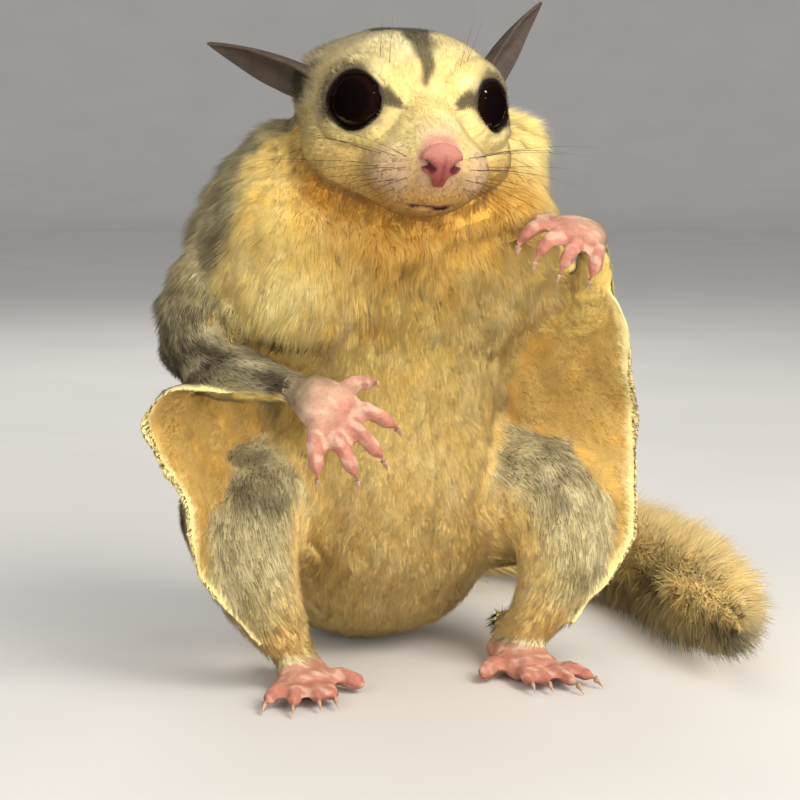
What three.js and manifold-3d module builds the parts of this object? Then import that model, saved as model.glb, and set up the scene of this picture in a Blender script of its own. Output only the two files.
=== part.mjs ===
// A life-size sugar glider, sitting upright on its haunches with its hands before its chest and its
// bushy tail laid round its left side on the floor. Millimetres, +Z up. The animal faces -Y and its
// left side is +X. The outer surfaces are those of the coat, so they reach out to the tips of the fur.
import * as THREE from 'three';
import { LoftGeometry } from 'three/addons/geometries/LoftGeometry.js';
import { ParametricGeometry } from 'three/addons/geometries/ParametricGeometry.js';
import { mergeVertices } from 'three/addons/utils/BufferGeometryUtils.js';
import Module from 'manifold-3d';

const wasm = await Module();
wasm.setup();

const GAP = 0.3; // clearance kept between touching sub-parts
const LEFT = 1;
const RIGHT = -1;
const SIDES = { left: LEFT, right: RIGHT };

// Driving dimensions of the animal
const CROWN_HEIGHT = 112; // floor to the top of the head
const HEAD_HALF_HEIGHT = 14.5; // from the level of the skull's middle to the crown
const HEAD_PITCH = 0.1; // the nose is held a little down
const HEAD_ROLL = 0.04;
const EYE_RADIUS = 5.7;
const EYE_OPENING = 4.9; // half width of the opening between the lids
const MOUTH_DEPTH = 0.75;
const HEAD_SOFTNESS = 3.2;
const TAIL_LENGTH = 168;
const TAIL_RADIUS = 12; // out to the tips of the brush
const EAR_LENGTH = 19;
const EAR_WALL = 0.8;
const MEMBRANE_WALL = 1.9; // the furred gliding membrane

const FUR_CREAM = 0xe6cf8f;
const FUR_GOLD = 0xe3b45c;
const FUR_GREY = 0x8f8672;
const SKIN_PINK = 0xd9a598;
const EAR_BROWN = 0x7d6a60;
const EYE_BLACK = 0x120c0c;
const NOSE_PINK = 0xc8807f;

const at = (x, y, z) => new THREE.Vector3(x, y, z);

/** A closed solid from a geometry, turned outwards whichever way its faces were wound. */
function solidOf(geometry) {
  const bare = new THREE.BufferGeometry();
  bare.setAttribute('position', geometry.getAttribute('position').clone());
  if (geometry.index) bare.setIndex(geometry.index.clone());
  const merged = mergeVertices(bare, 1e-4);
  const corners = merged.index.array;
  const kept = [];
  for (let i = 0; i < corners.length; i += 3) {
    const [a, b, c] = [corners[i], corners[i + 1], corners[i + 2]];
    if (a !== b && b !== c && a !== c) kept.push(a, b, c);
  }
  const vertProperties = merged.attributes.position.array;
  const build = (list) =>
    new wasm.Manifold(new wasm.Mesh({ numProp: 3, vertProperties, triVerts: new Uint32Array(list) }));
  const made = build(kept);
  return made.volume() < 0 ? build(kept.toReversed()) : made;
}

/** The three.js geometry of a solid. */
function geometryOf(solid) {
  const { numProp, vertProperties, triVerts } = solid.getMesh();
  const places = new Float32Array((vertProperties.length / numProp) * 3);
  for (let i = 0; i < places.length / 3; i++) {
    places.set(vertProperties.subarray(i * numProp, i * numProp + 3), i * 3);
  }
  const geometry = new THREE.BufferGeometry();
  geometry.setAttribute('position', new THREE.BufferAttribute(places, 3));
  geometry.setIndex(new THREE.BufferAttribute(new Uint32Array(triVerts), 1));
  geometry.computeVertexNormals();
  return geometry;
}

/** A geometry swollen by a distance along its vertex normals. */
function grown(geometry, distance) {
  const bare = new THREE.BufferGeometry();
  bare.setAttribute('position', geometry.getAttribute('position').clone());
  if (geometry.index) bare.setIndex(geometry.index.clone());
  const swollen = mergeVertices(bare, 1e-4);
  swollen.computeVertexNormals();
  const place = swollen.getAttribute('position');
  const normal = swollen.getAttribute('normal');
  for (let i = 0; i < place.count; i++) {
    place.setXYZ(
      i,
      place.getX(i) + normal.getX(i) * distance,
      place.getY(i) + normal.getY(i) * distance,
      place.getZ(i) + normal.getZ(i) * distance,
    );
  }
  return swollen;
}

/** The largest closed body of a solid, without loose scraps. */
function largest(solid) {
  return solid.decompose().reduce((best, body) => (body.volume() > best.volume() ? body : best));
}

const joined = (first, ...others) => others.reduce((whole, other) => whole.add(other), first);

/** A geometry as the pair that the cuts need: its solid, and its solid grown by the gap. */
function shape(geometry) {
  if (solidOf(geometry).volume() <= 0) throw new Error('empty shape');
  return { solid: solidOf(geometry), room: solidOf(outward(geometry, GAP)) };
}

/** A geometry grown outwards, whichever way its faces were wound. */
function outward(geometry, distance) {
  return grown(geometryOf(solidOf(geometry)), distance);
}

/** Takes the room of each neighbour off a solid and keeps its main body. */
const clearOf = (solid, ...neighbours) =>
  largest(neighbours.reduce((left, neighbour) => left.subtract(neighbour.room), solid));

/** Rings of an ellipse swept along a path. Each station is [point, half width, half depth]. */
function sweptGeometry({ stations, across, rings, sides, startRound = 0.12, endRound = 0.12 }) {
  const path = new THREE.CatmullRomCurve3(stations.map((s) => s[0]), false, 'centripetal');
  const sizes = new THREE.CatmullRomCurve3(
    stations.map((s, i) => at(s[1], s[2] ?? s[1], i)), false, 'centripetal');
  const sections = [];
  for (let i = 0; i <= rings; i++) {
    const t = THREE.MathUtils.lerp(0.002, 0.998, i / rings);
    const share = i / rings;
    let taper = 1;
    if (share < startRound) taper = Math.sqrt(Math.max(0.02, 1 - ((startRound - share) / startRound) ** 2));
    if (share > 1 - endRound) {
      taper = Math.sqrt(Math.max(0.02, 1 - ((share - 1 + endRound) / endRound) ** 2));
    }
    const middle = path.getPoint(t);
    const tangent = path.getTangent(t);
    const size = sizes.getPoint(t);
    const sideways = across.clone().addScaledVector(tangent, -across.dot(tangent)).normalize();
    const upwards = new THREE.Vector3().crossVectors(tangent, sideways);
    const ring = [];
    for (let j = 0; j < sides; j++) {
      const angle = (j / sides) * Math.PI * 2;
      ring.push(middle.clone()
        .addScaledVector(sideways, Math.cos(angle) * size.x * taper)
        .addScaledVector(upwards, Math.sin(angle) * size.y * taper));
    }
    sections.push(ring);
  }
  return new LoftGeometry(sections, { capStart: true, capEnd: true });
}

/** Signed measure of a soft blob, an ellipsoid: negative inside, roughly a distance outside. */
function blobMeasure(blob, point) {
  const q = point.clone().sub(blob.middle).divide(blob.radii);
  return (q.length() - 1) * Math.min(blob.radii.x, blob.radii.y, blob.radii.z);
}

/** Blobs blended into one soft form. */
function blend(blobs, softness) {
  return (point) => {
    let value = Infinity;
    for (const blob of blobs) {
      const other = blobMeasure(blob, point);
      const near = Math.max(softness - Math.abs(value - other), 0) / softness;
      value = Math.min(value, other) - (near * near * softness) / 4;
    }
    return value;
  };
}

/** A capsule's skin drawn in on to a soft form, from the nearest points of its axis. */
function wrappedGeometry({ from, to, form, reach, capRings, rings, sides }) {
  const length = from.distanceTo(to);
  const capsule = new THREE.CapsuleGeometry(1, length, capRings, sides, rings);
  const turn = new THREE.Quaternion().setFromUnitVectors(at(0, 1, 0), to.clone().sub(from).normalize());
  const place = capsule.getAttribute('position');
  for (let i = 0; i < place.count; i++) {
    const point = new THREE.Vector3().fromBufferAttribute(place, i);
    const along = THREE.MathUtils.clamp(point.y, -length / 2, length / 2);
    const direction = point.clone().sub(at(0, along, 0)).normalize().applyQuaternion(turn);
    const root = from.clone().lerp(to, along / length + 0.5);
    let [inside, outside] = [0, reach];
    for (let step = 0; step < 26; step++) {
      const middle = (inside + outside) / 2;
      if (form(root.clone().addScaledVector(direction, middle)) < 0) inside = middle;
      else outside = middle;
    }
    const end = root.addScaledVector(direction, inside);
    place.setXYZ(i, end.x, end.y, end.z);
  }
  return capsule;
}

const blob = (x, y, z, rx, ry, rz) => ({ middle: at(x, y, z), radii: at(rx, ry, rz) });
const pair = (x, y, z, rx, ry, rz) => [blob(x, y, z, rx, ry, rz), blob(-x, y, z, rx, ry, rz)];

// The floor, as a slab to cut small flats with
const floor = solidOf(new THREE.BoxGeometry(600, 600, 40).translate(0, 0, -20));

// Head, in its own frame: the nose points to -Y, the middle of the skull is the origin
const HEAD_BLOBS = [
  blob(0, 6, 0, 18.2, 17.5, 14), // skull
  blob(0, -3, 5.2, 14, 9, 8.4), // forehead
  ...pair(9.8, -1.5, -7.6, 9, 10.5, 8), // cheeks
  blob(0, -11.5, -6.6, 9.6, 10.5, 7), // muzzle
  blob(0, -10.5, -1.4, 5.6, 9.5, 5.2), // bridge of the nose
  ...pair(5.3, -16.6, -8.6, 5.1, 4.9, 4.5), // whisker pads
  blob(0, -20, -5.4, 3.6, 3.8, 3.3), // root of the nose pad
  blob(0, -12.5, -13.2, 7, 7, 3.6), // chin
  blob(0, -1, -11.4, 12.5, 12.5, 5.8), // jaw
  ...pair(9, -6.9, 1.2, 6.4, 6.1, 6.1), // orbits
];
const EYE_MIDDLE = at(9.1, -7.7, 1.3);
const EYE_AXIS = at(0.64, -0.75, 0.16).normalize();
const headPlace = new THREE.Matrix4()
  .makeTranslation(0, -8, CROWN_HEIGHT - HEAD_HALF_HEIGHT)
  .multiply(new THREE.Matrix4().makeRotationFromEuler(new THREE.Euler(HEAD_PITCH, HEAD_ROLL, 0)));

/** The head's skin as a geometry in its own frame. */
function headGeometry() {
  return wrappedGeometry({
    from: at(0, -15.5, -7.5),
    to: at(0, 8, -1),
    form: blend(HEAD_BLOBS, HEAD_SOFTNESS),
    reach: 40,
    capRings: 7,
    rings: 10,
    sides: 32,
  });
}

/** Where an eye sits in the head, and which way it looks. */
const eyeAt = (side) => [EYE_MIDDLE.clone().setX(EYE_MIDDLE.x * side), EYE_AXIS.clone().setX(EYE_AXIS.x * side)];

/** A ring that hugs the eyeball: the rims of the lids. */
function lidGeometry(side) {
  const [middle, axis] = eyeAt(side);
  const ring = new THREE.TorusGeometry(EYE_OPENING + 0.5, 0.75, 5, 18);
  ring.applyQuaternion(new THREE.Quaternion().setFromUnitVectors(at(0, 0, 1), axis));
  const depth = Math.sqrt(EYE_RADIUS ** 2 - EYE_OPENING ** 2);
  return ring.translate(...middle.addScaledVector(axis, depth - 0.35));
}

/** The opening between the lids, from the middle of the eye outwards. */
function openingGeometry(side) {
  const [middle, axis] = eyeAt(side);
  const tube = new THREE.CylinderGeometry(EYE_OPENING + 1.3, EYE_OPENING - 0.6, 9, 18).translate(0, 4.5, 0);
  tube.applyQuaternion(new THREE.Quaternion().setFromUnitVectors(at(0, 1, 0), axis));
  return tube.translate(...middle);
}

/** The place where a line from a point inside the head meets its skin. */
function onHead(from, direction) {
  const form = blend(HEAD_BLOBS, HEAD_SOFTNESS);
  let [inside, outside] = [0, 40];
  for (let step = 0; step < 24; step++) {
    const middle = (inside + outside) / 2;
    if (form(from.clone().addScaledVector(direction, middle)) < 0) inside = middle;
    else outside = middle;
  }
  return from.clone().addScaledVector(direction, inside);
}

/** The line of the mouth, laid on the skin as a thin tube to cut: its middle in front, its corners behind. */
function mouthGeometry() {
  const heart = at(0, -8, -10.2);
  const stations = Array.from({ length: 11 }, (_, i) => {
    const turn = THREE.MathUtils.lerp(-1.32, 1.32, i / 10);
    const drop = -0.26 - 0.13 * Math.cos(turn * 2.4);
    const line = at(Math.sin(turn), -Math.cos(turn), drop).normalize();
    const size = MOUTH_DEPTH * (1 - 0.45 * Math.abs(turn) / 1.32);
    return [onHead(heart, line), size];
  });
  return sweptGeometry({ stations, across: at(0, 0, 1), rings: 11, sides: 4 });
}

const eyeSolid = (side, radius) =>
  solidOf(new THREE.SphereGeometry(radius, 16, 11)
    .translate(EYE_MIDDLE.x * side, EYE_MIDDLE.y, EYE_MIDDLE.z));

/** The nose pad with its nostrils and its groove. */
function noseSolid(headRoom) {
  const form = blend([
    blob(0, -22.6, -5.4, 3.7, 2.6, 3),
    ...pair(2, -22.5, -6.2, 2.2, 2.2, 2),
    blob(0, -22.4, -8.6, 1.5, 1.8, 2.4),
  ], 1.2);
  const pad = solidOf(wrappedGeometry({
    from: at(0, -22, -6.1), to: at(0, -22.4, -6.1), form, reach: 8, capRings: 3, rings: 1, sides: 14,
  }));
  const groove = solidOf(sweptGeometry({
    stations: [[at(0, -25.2, -3.8), 0.25], [at(0, -25.5, -6), 0.4], [at(0, -24.8, -8.6), 0.4],
      [at(0, -23.6, -10.8), 0.3]],
    across: at(1, 0, 0), rings: 4, sides: 4,
  }));
  const nostrils = Object.values(SIDES).map((side) => solidOf(sweptGeometry({
    stations: [[at(1.8 * side, -25.2, -7.1), 0.5], [at(2.6 * side, -24.6, -6.5), 0.8],
      [at(3.5 * side, -23.5, -6.3), 0.6], [at(4.6 * side, -22.3, -6.6), 0.3]],
    across: at(0, 0, 1), rings: 4, sides: 4,
  })));
  return largest(pad.subtract(headRoom).subtract(joined(groove, ...nostrils)));
}

/** A closed thin body about a sheet: the sheet's places by two shares, and its thickness. */
function sheetGeometry({ place, wall, across, along }) {
  const step = 1e-3;
  const normalAt = (a, b) => {
    const sideways = place(Math.min(a + step, 1), b).sub(place(Math.max(a - step, 0), b));
    const forwards = place(a, Math.min(b + step, 1)).sub(place(a, Math.max(b - step, 0)));
    return new THREE.Vector3().crossVectors(sideways, forwards).normalize();
  };
  const onSheet = (u, b, target) => {
    const outer = u <= 0.5;
    const a = THREE.MathUtils.clamp(outer ? u * 2 : 2 - u * 2, 0, 1);
    target.copy(place(a, b));
    const rim = a < 1e-6 || a > 1 - 1e-6 || b < 1e-6 || b > 1 - 1e-6;
    if (!rim) target.addScaledVector(normalAt(a, b), (wall(a, b) / 2) * (outer ? 1 : -1));
  };
  return new ParametricGeometry(onSheet, across * 2, along);
}

/** A thin cupped ear: round the head at its root, open towards the front and pointed at the tip. */
function earGeometry({ root, tip, opens, width, curl }) {
  const axis = tip.clone().sub(root);
  const length = axis.length();
  const along = axis.clone().normalize();
  const front = opens.clone().addScaledVector(along, -opens.dot(along)).normalize();
  const sideways = new THREE.Vector3().crossVectors(along, front);
  const place = (a, b) => {
    const half = width * Math.max(0.02, (0.95 + 0.35 * b) * (1 - b ** 1.15) ** 0.9);
    const wrap = THREE.MathUtils.lerp(2.2, 0.8, Math.sqrt(b));
    const radius = half / wrap * 1.25;
    const angle = THREE.MathUtils.lerp(-wrap, wrap, a);
    return root.clone().addScaledVector(along, length * b)
      .addScaledVector(front, radius * (1 - Math.cos(angle)) + curl * b * b)
      .addScaledVector(sideways, Math.sin(angle) * radius);
  };
  return sheetGeometry({ place, wall: (a, b) => EAR_WALL * (1 - 0.4 * b), across: 8, along: 9 });
}

// Each ear is carried its own way: the right one lies out to the side, the left one stands higher
const EARS = {
  left: { root: at(14.6, 7, 5.5), tip: at(26, 15, 19), opens: at(0.5, -0.75, -0.3), width: 6, curl: 2.2 },
  right: { root: at(-14.8, 7, 4.5), tip: at(-31.5, 12, 10), opens: at(-0.1, -0.85, -0.5), width: 6.2, curl: 2.2 },
};

// Trunk: one soft form from the seat up to the nape, parted between torso and neck by a tilted plane
const TRUNK_BLOBS = [
  blob(0, 19, 19, 24.5, 24, 20), // rump
  blob(0, 11.5, 31, 22, 22.5, 22), // belly
  blob(0, 12, 44, 21.5, 20.5, 20), // flanks
  blob(0, 11, 57, 24.5, 20, 17), // ribs
  blob(0, 6, 71, 28.5, 18.5, 16), // chest and shoulders
  blob(-19, -5, 73, 14.5, 12.5, 15.5), // the thick fur of the chest, hanging over the arms
  blob(18.5, -2, 73, 12, 11, 13),
  blob(0, -2, 76, 20, 15, 13),
  blob(0, 4, 84, 22, 17, 12), // neck
  ...pair(11, 6, 89, 13.5, 12.5, 10), // nape and ruff
];
const NECK_BASE = at(0, 0, 80);
const NECK_AXIS = at(0, -0.25, 1).normalize();

const trunkGeometry = wrappedGeometry({
  from: at(0, 16, 20),
  to: at(0, 3, 84),
  form: blend(TRUNK_BLOBS, 8),
  reach: 60,
  capRings: 5,
  rings: 11,
  sides: 28,
});

/** A block that fills all beyond a plane, a given distance ahead of it. */
function halfSpace(point, axis, ahead, size = 200) {
  const block = new THREE.BoxGeometry(size, size, size).translate(0, 0, size / 2 + ahead);
  block.applyQuaternion(new THREE.Quaternion().setFromUnitVectors(at(0, 0, 1), axis));
  return solidOf(block.translate(point.x, point.y, point.z));
}

const trunk = shape(trunkGeometry);
const torsoSolid = trunk.solid.subtract(halfSpace(NECK_BASE, NECK_AXIS, -GAP / 2));
const neckSolid = trunk.solid.subtract(halfSpace(NECK_BASE, NECK_AXIS.clone().negate(), -GAP / 2));

// Arms: stations of [point, half width, half depth], from inside the shoulder to the wrist
const ARMS = {
  left: [[at(14, 5, 77), 9, 9], [at(24, 3, 71), 9.2, 9], [at(31, 2, 64), 7.4, 7.4],
    [at(33.5, -6, 63.5), 5.8, 5.8], [at(32, -13.5, 69), 4.7, 4.6], [at(29.6, -19.5, 75), 3.5, 3.2]],
  right: [[at(-14, 4, 77), 9, 9], [at(-25, 0, 70), 9.6, 9.4], [at(-32, -3, 60.5), 7.8, 7.6],
    [at(-33.5, -11, 55.5), 6.6, 6.4], [at(-29, -19, 54), 5.4, 5], [at(-22.5, -25, 53), 3.6, 3.1]],
};

// Legs: from inside the hip over the knee down to the heel
const LEGS = {
  left: [[at(13, 20, 23), 15.5, 15], [at(22, 9, 27), 14.5, 14.5], [at(28, -5, 27.5), 11.6, 11.6],
    [at(27, -12, 18), 8.8, 8.6], [at(22.5, -11.5, 9), 6.2, 5.8], [at(19, -5, 4.8), 4.2, 3.8]],
};
LEGS.right = LEGS.left.map(([p, ...size]) => [p.clone().setX(-p.x), ...size]);

/** A digit: bones of given lengths from a root, each bent further down, and a claw at the end. */
function digitSolid({ root, heading, bones, bends, radius, claw }) {
  const forward = at(Math.sin(heading), -Math.cos(heading), 0);
  const joints = [root.clone()];
  let direction = forward;
  bones.forEach((length, i) => {
    direction = forward.clone().multiplyScalar(Math.cos(bends[i])).add(at(0, 0, -Math.sin(bends[i])));
    joints.push(joints.at(-1).clone().addScaledVector(direction, length));
  });
  const thick = [1, 1.06, 0.94, 1];
  const stations = joints.map((p, i) => [p, radius * thick[Math.min(i, 3)]]);
  const digit = solidOf(sweptGeometry({
    stations, across: at(Math.cos(heading), Math.sin(heading), 0), rings: 4, sides: 6, endRound: 0.25,
  }));
  if (!claw) return digit;
  const upwards = forward.clone().multiplyScalar(Math.sin(bends.at(-1))).add(at(0, 0, Math.cos(bends.at(-1))));
  const tip = joints.at(-1);
  const hook = [[-1.4, 0.5, 1], [0.2, 0.62, 0.8], [claw, -0.35, 0.16]];
  const nail = solidOf(sweptGeometry({
    stations: hook.map(([ahead, above, size]) => [
      tip.clone().addScaledVector(direction, ahead).addScaledVector(upwards, above), size * 0.55, size * 0.7]),
    across: at(Math.cos(heading), Math.sin(heading), 0), rings: 3, sides: 4, startRound: 0.05, endRound: 0.05,
  }));
  return digit.add(nail);
}

// Fingers from the thumb outwards: place across the palm, fan, length of the bones
const FINGERS = [
  { across: -3.4, back: 2.6, fan: -1.05, bones: [3, 2.2, 1.2] },
  { across: -2.3, back: 0.4, fan: -0.4, bones: [4, 2.8, 1.6] },
  { across: 0, back: 0, fan: -0.02, bones: [4.3, 3, 1.7] },
  { across: 2.1, back: 0.4, fan: 0.32, bones: [4.3, 3, 1.7] },
  { across: 3.5, back: 1.8, fan: 0.75, bones: [3.7, 2.6, 1.5] },
];

/** A hand in its own frame: the wrist at the origin, the fingers towards -Y, the palm down. */
function handSolid(side, curl) {
  const palm = solidOf(sweptGeometry({
    stations: [[at(0, 2, 0), 2.8, 2.4], [at(0, -1.5, 0), 3.6, 2.4], [at(0, -5, 0), 4.9, 2.3],
      [at(0, -7.4, -0.4), 4, 1.7]],
    across: at(1, 0, 0), rings: 6, sides: 10,
  }));
  const fingers = FINGERS.map(({ across, back, fan, bones }) => digitSolid({
    root: at(across * side, -5.6 + back, 0.1),
    heading: fan * side,
    bones,
    bends: [0.05, 0.75, 1.35].map((bend) => bend * curl),
    radius: 1.4,
    claw: 1.7,
  }));
  return joined(palm, ...fingers);
}

// Toes: two long outer ones, the two joined inner ones, then the clawless big toe
const TOES = [
  { across: 3.9, fan: 0.42, bones: [3.6, 3, 1.6], claw: 1.7 },
  { across: 1.5, fan: 0.16, bones: [4.4, 3.4, 1.8], claw: 1.8 },
  { across: -0.9, fan: -0.05, bones: [3.6, 2.6, 1.5], claw: 1.6 },
  { across: -2.9, fan: -0.16, bones: [3.2, 2.3, 1.4], claw: 1.6 },
  { across: -3.6, fan: -0.85, back: 6, bones: [3.8, 3, 1.8], radius: 1.8 },
];

/** A hind foot in its own frame: the heel at the origin, the toes towards -Y, the sole on the floor. */
function footSolid(side) {
  const sole = solidOf(sweptGeometry({
    stations: [[at(0, 2.5, 3), 3.4, 3], [at(0, -3, 2.6), 4, 2.9], [at(0, -9, 2.2), 4.9, 2.6],
      [at(0, -14, 1.8), 5.2, 2.1], [at(0, -16.5, 1.5), 4.4, 1.7]],
    across: at(1, 0, 0), rings: 6, sides: 10,
  }));
  const toes = TOES.map(({ across, fan, bones, claw, back = 0, radius = 1.45 }) => digitSolid({
    root: at(across * side, -14.2 + back, 2.2),
    heading: fan * side,
    bones,
    bends: [-0.05, 0.16, 0.3],
    radius,
    claw,
  }));
  return joined(sole, ...toes);
}

// Each hand and foot: its place, where its digits point and which way its back faces
const HANDS = {
  left: { place: at(29, -20.5, 76.6), points: at(-0.8, -0.6, 0.05), back: at(-0.05, -0.5, 0.86), curl: 1.15, scale: 1.08 },
  right: { place: at(-21.5, -25.8, 52.7), points: at(0.7, -0.42, -0.58), back: at(0.15, -0.85, 0.5), curl: 0.5, scale: 1.15 },
};
const FEET = {
  left: { place: at(18.5, -5.5, 0), points: at(0.12, -1, 0), back: at(0, 0, 1) },
  right: { place: at(-18.5, -5.5, 0), points: at(-0.12, -1, 0), back: at(0, 0, 1) },
};

/** The matrix that sets a hand or a foot in its place. */
function stance({ place, points, back, scale = 1 }) {
  const backwards = points.clone().normalize().negate();
  const sideways = new THREE.Vector3().crossVectors(backwards, back).normalize();
  const upwards = new THREE.Vector3().crossVectors(sideways, backwards);
  return new THREE.Matrix4().makeBasis(sideways, backwards, upwards)
    .scale(at(scale, scale, scale)).setPosition(place);
}

/** A solid and the room round it, set in its place. */
const placed = (solid, place) => shape(geometryOf(solid).applyMatrix4(place));

const hands = {};
const feet = {};
const arms = {};
const legs = {};
for (const [name, side] of Object.entries(SIDES)) {
  arms[name] = shape(sweptGeometry({
    stations: ARMS[name], across: at(0, 1, 0), rings: 12, sides: 12, startRound: 0.1, endRound: 0.08,
  }));
  legs[name] = shape(sweptGeometry({
    stations: LEGS[name], across: at(0, 1, 0.2), rings: 11, sides: 14, startRound: 0.2, endRound: 0.1,
  }));
  hands[name] = placed(handSolid(side, HANDS[name].curl), stance(HANDS[name]));
  feet[name] = placed(footSolid(side), stance(FEET[name]));
}

// The gliding membrane of each side: the line where it leaves the body and its free edge, from the wrist
// to the ankle, and how far the edge rolls up near the wrist
const MEMBRANES = {
  left: {
    root: [at(30.5, -16, 72), at(32, -4, 63), at(20, 8, 52), at(20, 10, 40), at(24, 0, 24), at(20, -8, 10)],
    edge: [at(32, -17.5, 69), at(38.5, -15, 60), at(41.5, -11.5, 49), at(42, -11.5, 38), at(40, -17, 24),
      at(28, -18, 8)],
    ripple: 1.6,
  },
  right: {
    root: [at(-23, -23, 52.5), at(-30, -10, 55.5), at(-24, 5, 54), at(-20, 8, 46), at(-20, 8, 38), at(-22, 2, 28),
      at(-20, -8, 10)],
    edge: [at(-24, -23, 49), at(-32, -22, 51.5), at(-42, -18.5, 51.5), at(-47.5, -15.5, 46), at(-44.5, -15.5, 40),
      at(-40, -17, 34), at(-38.5, -17, 22), at(-28, -18, 8)],
    ripple: 0.8,
  },
};

/** The gliding membrane: a furred sheet from the flank to a free edge that runs from wrist to ankle. */
function membraneGeometry({ root, edge, ripple }) {
  const rootLine = new THREE.CatmullRomCurve3(root);
  const freeEdge = new THREE.CatmullRomCurve3(edge);
  const place = (a, b) => {
    const start = rootLine.getPoint(b);
    const across = freeEdge.getPoint(b).sub(start);
    const normal = new THREE.Vector3().crossVectors(across, freeEdge.getTangent(b)).normalize();
    const wave = Math.sin(b * Math.PI * 5) * ripple * Math.sin(b * Math.PI) * a * a;
    return start.addScaledVector(across, a).addScaledVector(normal, wave);
  };
  return sheetGeometry({ place, wall: () => MEMBRANE_WALL, across: 7, along: 15 });
}

// Tail: down from the rump, then round the left side of the body on the floor
const TAIL_HEIGHT = 10.2;
const TAIL_PATH = new THREE.CatmullRomCurve3([
  at(0, 33, 15), at(5, 45, 12), at(20, 55, TAIL_HEIGHT), at(39, 53, TAIL_HEIGHT), at(52, 38, TAIL_HEIGHT),
  at(56.5, 16, TAIL_HEIGHT), at(55.5, -8, TAIL_HEIGHT), at(52, -33, TAIL_HEIGHT),
], false, 'centripetal');
const TAIL_CUTS = [0, 0.27, 0.52, 0.76, 1];
const TAIL_CORE = 5.2;
const LOCK = { length: 32, width: 4.9, thickness: 1.1, spacing: 19, around: 5, last: 0.83 };

/** Half width of the brush at a share of the tail's length, out to the tips of the fur. */
const brushAt = (t) => TAIL_RADIUS * Math.min(1, 0.74 + 1.5 * t) * (1 - 0.9 * Math.max(0, (t - 0.78) / 0.22) ** 1.9);

/** Half width of the tail under the fur. */
const coreAt = (t) => TAIL_CORE * (1 - 0.9 * Math.max(0, (Math.min(t, 1) - 0.72) / 0.28) ** 2);

/** A place in the tail: share of its length, angle round it and distance from its axis. */
function inTail(share, angle, distance) {
  const t = THREE.MathUtils.clamp(share, 0, 1);
  const tangent = TAIL_PATH.getTangentAt(t);
  const upwards = at(0, 0, 1).addScaledVector(tangent, -tangent.z).normalize();
  const sideways = new THREE.Vector3().crossVectors(upwards, tangent);
  const outwards = sideways.multiplyScalar(Math.cos(angle)).addScaledVector(upwards, Math.sin(angle) * 0.92);
  const beyond = (share - t) * TAIL_LENGTH;
  return {
    place: TAIL_PATH.getPointAt(t).addScaledVector(outwards, distance).addScaledVector(tangent, beyond),
    tangent,
    outwards: outwards.normalize(),
  };
}

/** A flat, tapered lock of the brush: rooted in the core, bent back along the tail, keeled below. */
function lockGeometry({ share, angle, length, width, lift, twist }) {
  const sections = [[0, 0.3, 0.8, 1], [0.36, 0.74, 1, 1], [0.72, 0.94, 0.74, 0.8], [1, 1, 0.08, 0.15]]
    .map(([along, out, wide, thick], i) => {
      const t = share + (along * length) / TAIL_LENGTH;
      const reach = Math.max(brushAt(THREE.MathUtils.clamp(t, 0, 1)) * out * lift, i === 0 ? 2.5 : 0);
      const here = inTail(t, angle + twist * along, reach);
      const across = new THREE.Vector3().crossVectors(here.tangent, here.outwards).normalize();
      const [w, h] = [width * wide, LOCK.thickness * thick];
      const keel = i === 3 ? h : Math.max(h, reach - coreAt(t) * 0.7);
      return [[w, 0], [0, -keel], [-w, 0], [0, h]].map(([x, y]) =>
        here.place.clone().addScaledVector(across, x).addScaledVector(here.outwards, y));
    });
  return new LoftGeometry(sections, { capStart: true, capEnd: true });
}

/** A repeatable stream of numbers from 0 to 1. */
function numbers(seed) {
  let state = seed;
  return () => {
    state = (state * 1664525 + 1013904223) % 4294967296;
    return state / 4294967296;
  };
}

/** One length of the tail, between two shares of its path: its core with the locks that grow there. */
function tailPiece(index) {
  const [from, to] = [TAIL_CUTS[index], TAIL_CUTS[index + 1]];
  const margin = 0.02;
  const steps = 5;
  const [start, end] = [Math.max(from - margin, 0), Math.min(to + margin, 1)];
  const shares = Array.from({ length: steps + 1 }, (_, i) => THREE.MathUtils.lerp(start, end, i / steps));
  const core = solidOf(new LoftGeometry(shares.map((t) =>
    Array.from({ length: 8 }, (_, j) => inTail(t, (j / 8) * Math.PI * 2, coreAt(t)).place),
  ), { capStart: true, capEnd: true }));
  const next = numbers(11);
  const rows = Math.floor((TAIL_LENGTH * LOCK.last) / LOCK.spacing) + 1;
  const locks = [];
  for (let row = -1; row < rows; row++) {
    for (let k = 0; k < LOCK.around; k++) {
      const [a, b, c, d] = [next(), next(), next(), next()];
      const share = (row + 0.4 * a) * (LOCK.spacing / TAIL_LENGTH);
      const length = Math.min(LOCK.length * (0.85 + 0.3 * b), TAIL_LENGTH * (1.01 - share));
      if (share + length / TAIL_LENGTH < from || share > to - 0.01) continue;
      locks.push(solidOf(lockGeometry({
        share,
        angle: ((k + (row % 2) / 2 + 0.3 * (c - 0.5)) / LOCK.around) * Math.PI * 2,
        length,
        width: LOCK.width * (0.85 + 0.3 * c),
        lift: 0.92 + 0.1 * d,
        twist: 0.3 * (a - 0.5),
      })));
    }
  }
  const brush = joined(core, ...locks);
  return [[from, -1], [to, 1]].filter(([share]) => share > 0 && share < 1).reduce(
    (piece, [share, way]) => piece.subtract(
      halfSpace(TAIL_PATH.getPointAt(share), TAIL_PATH.getTangentAt(share).multiplyScalar(way), -GAP / 2, 60)),
    brush);
}

// Put together
const glider = new THREE.Group();

/** Adds a solid to the model as a named mesh, cut level with the floor. */
function addPart(name, solid, colour, roughness = 0.85) {
  const mesh = new THREE.Mesh(
    geometryOf(largest(solid.subtract(floor))),
    new THREE.MeshStandardMaterial({ color: colour, roughness, metalness: 0 }),
  );
  mesh.name = name;
  glider.add(mesh);
}

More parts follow.
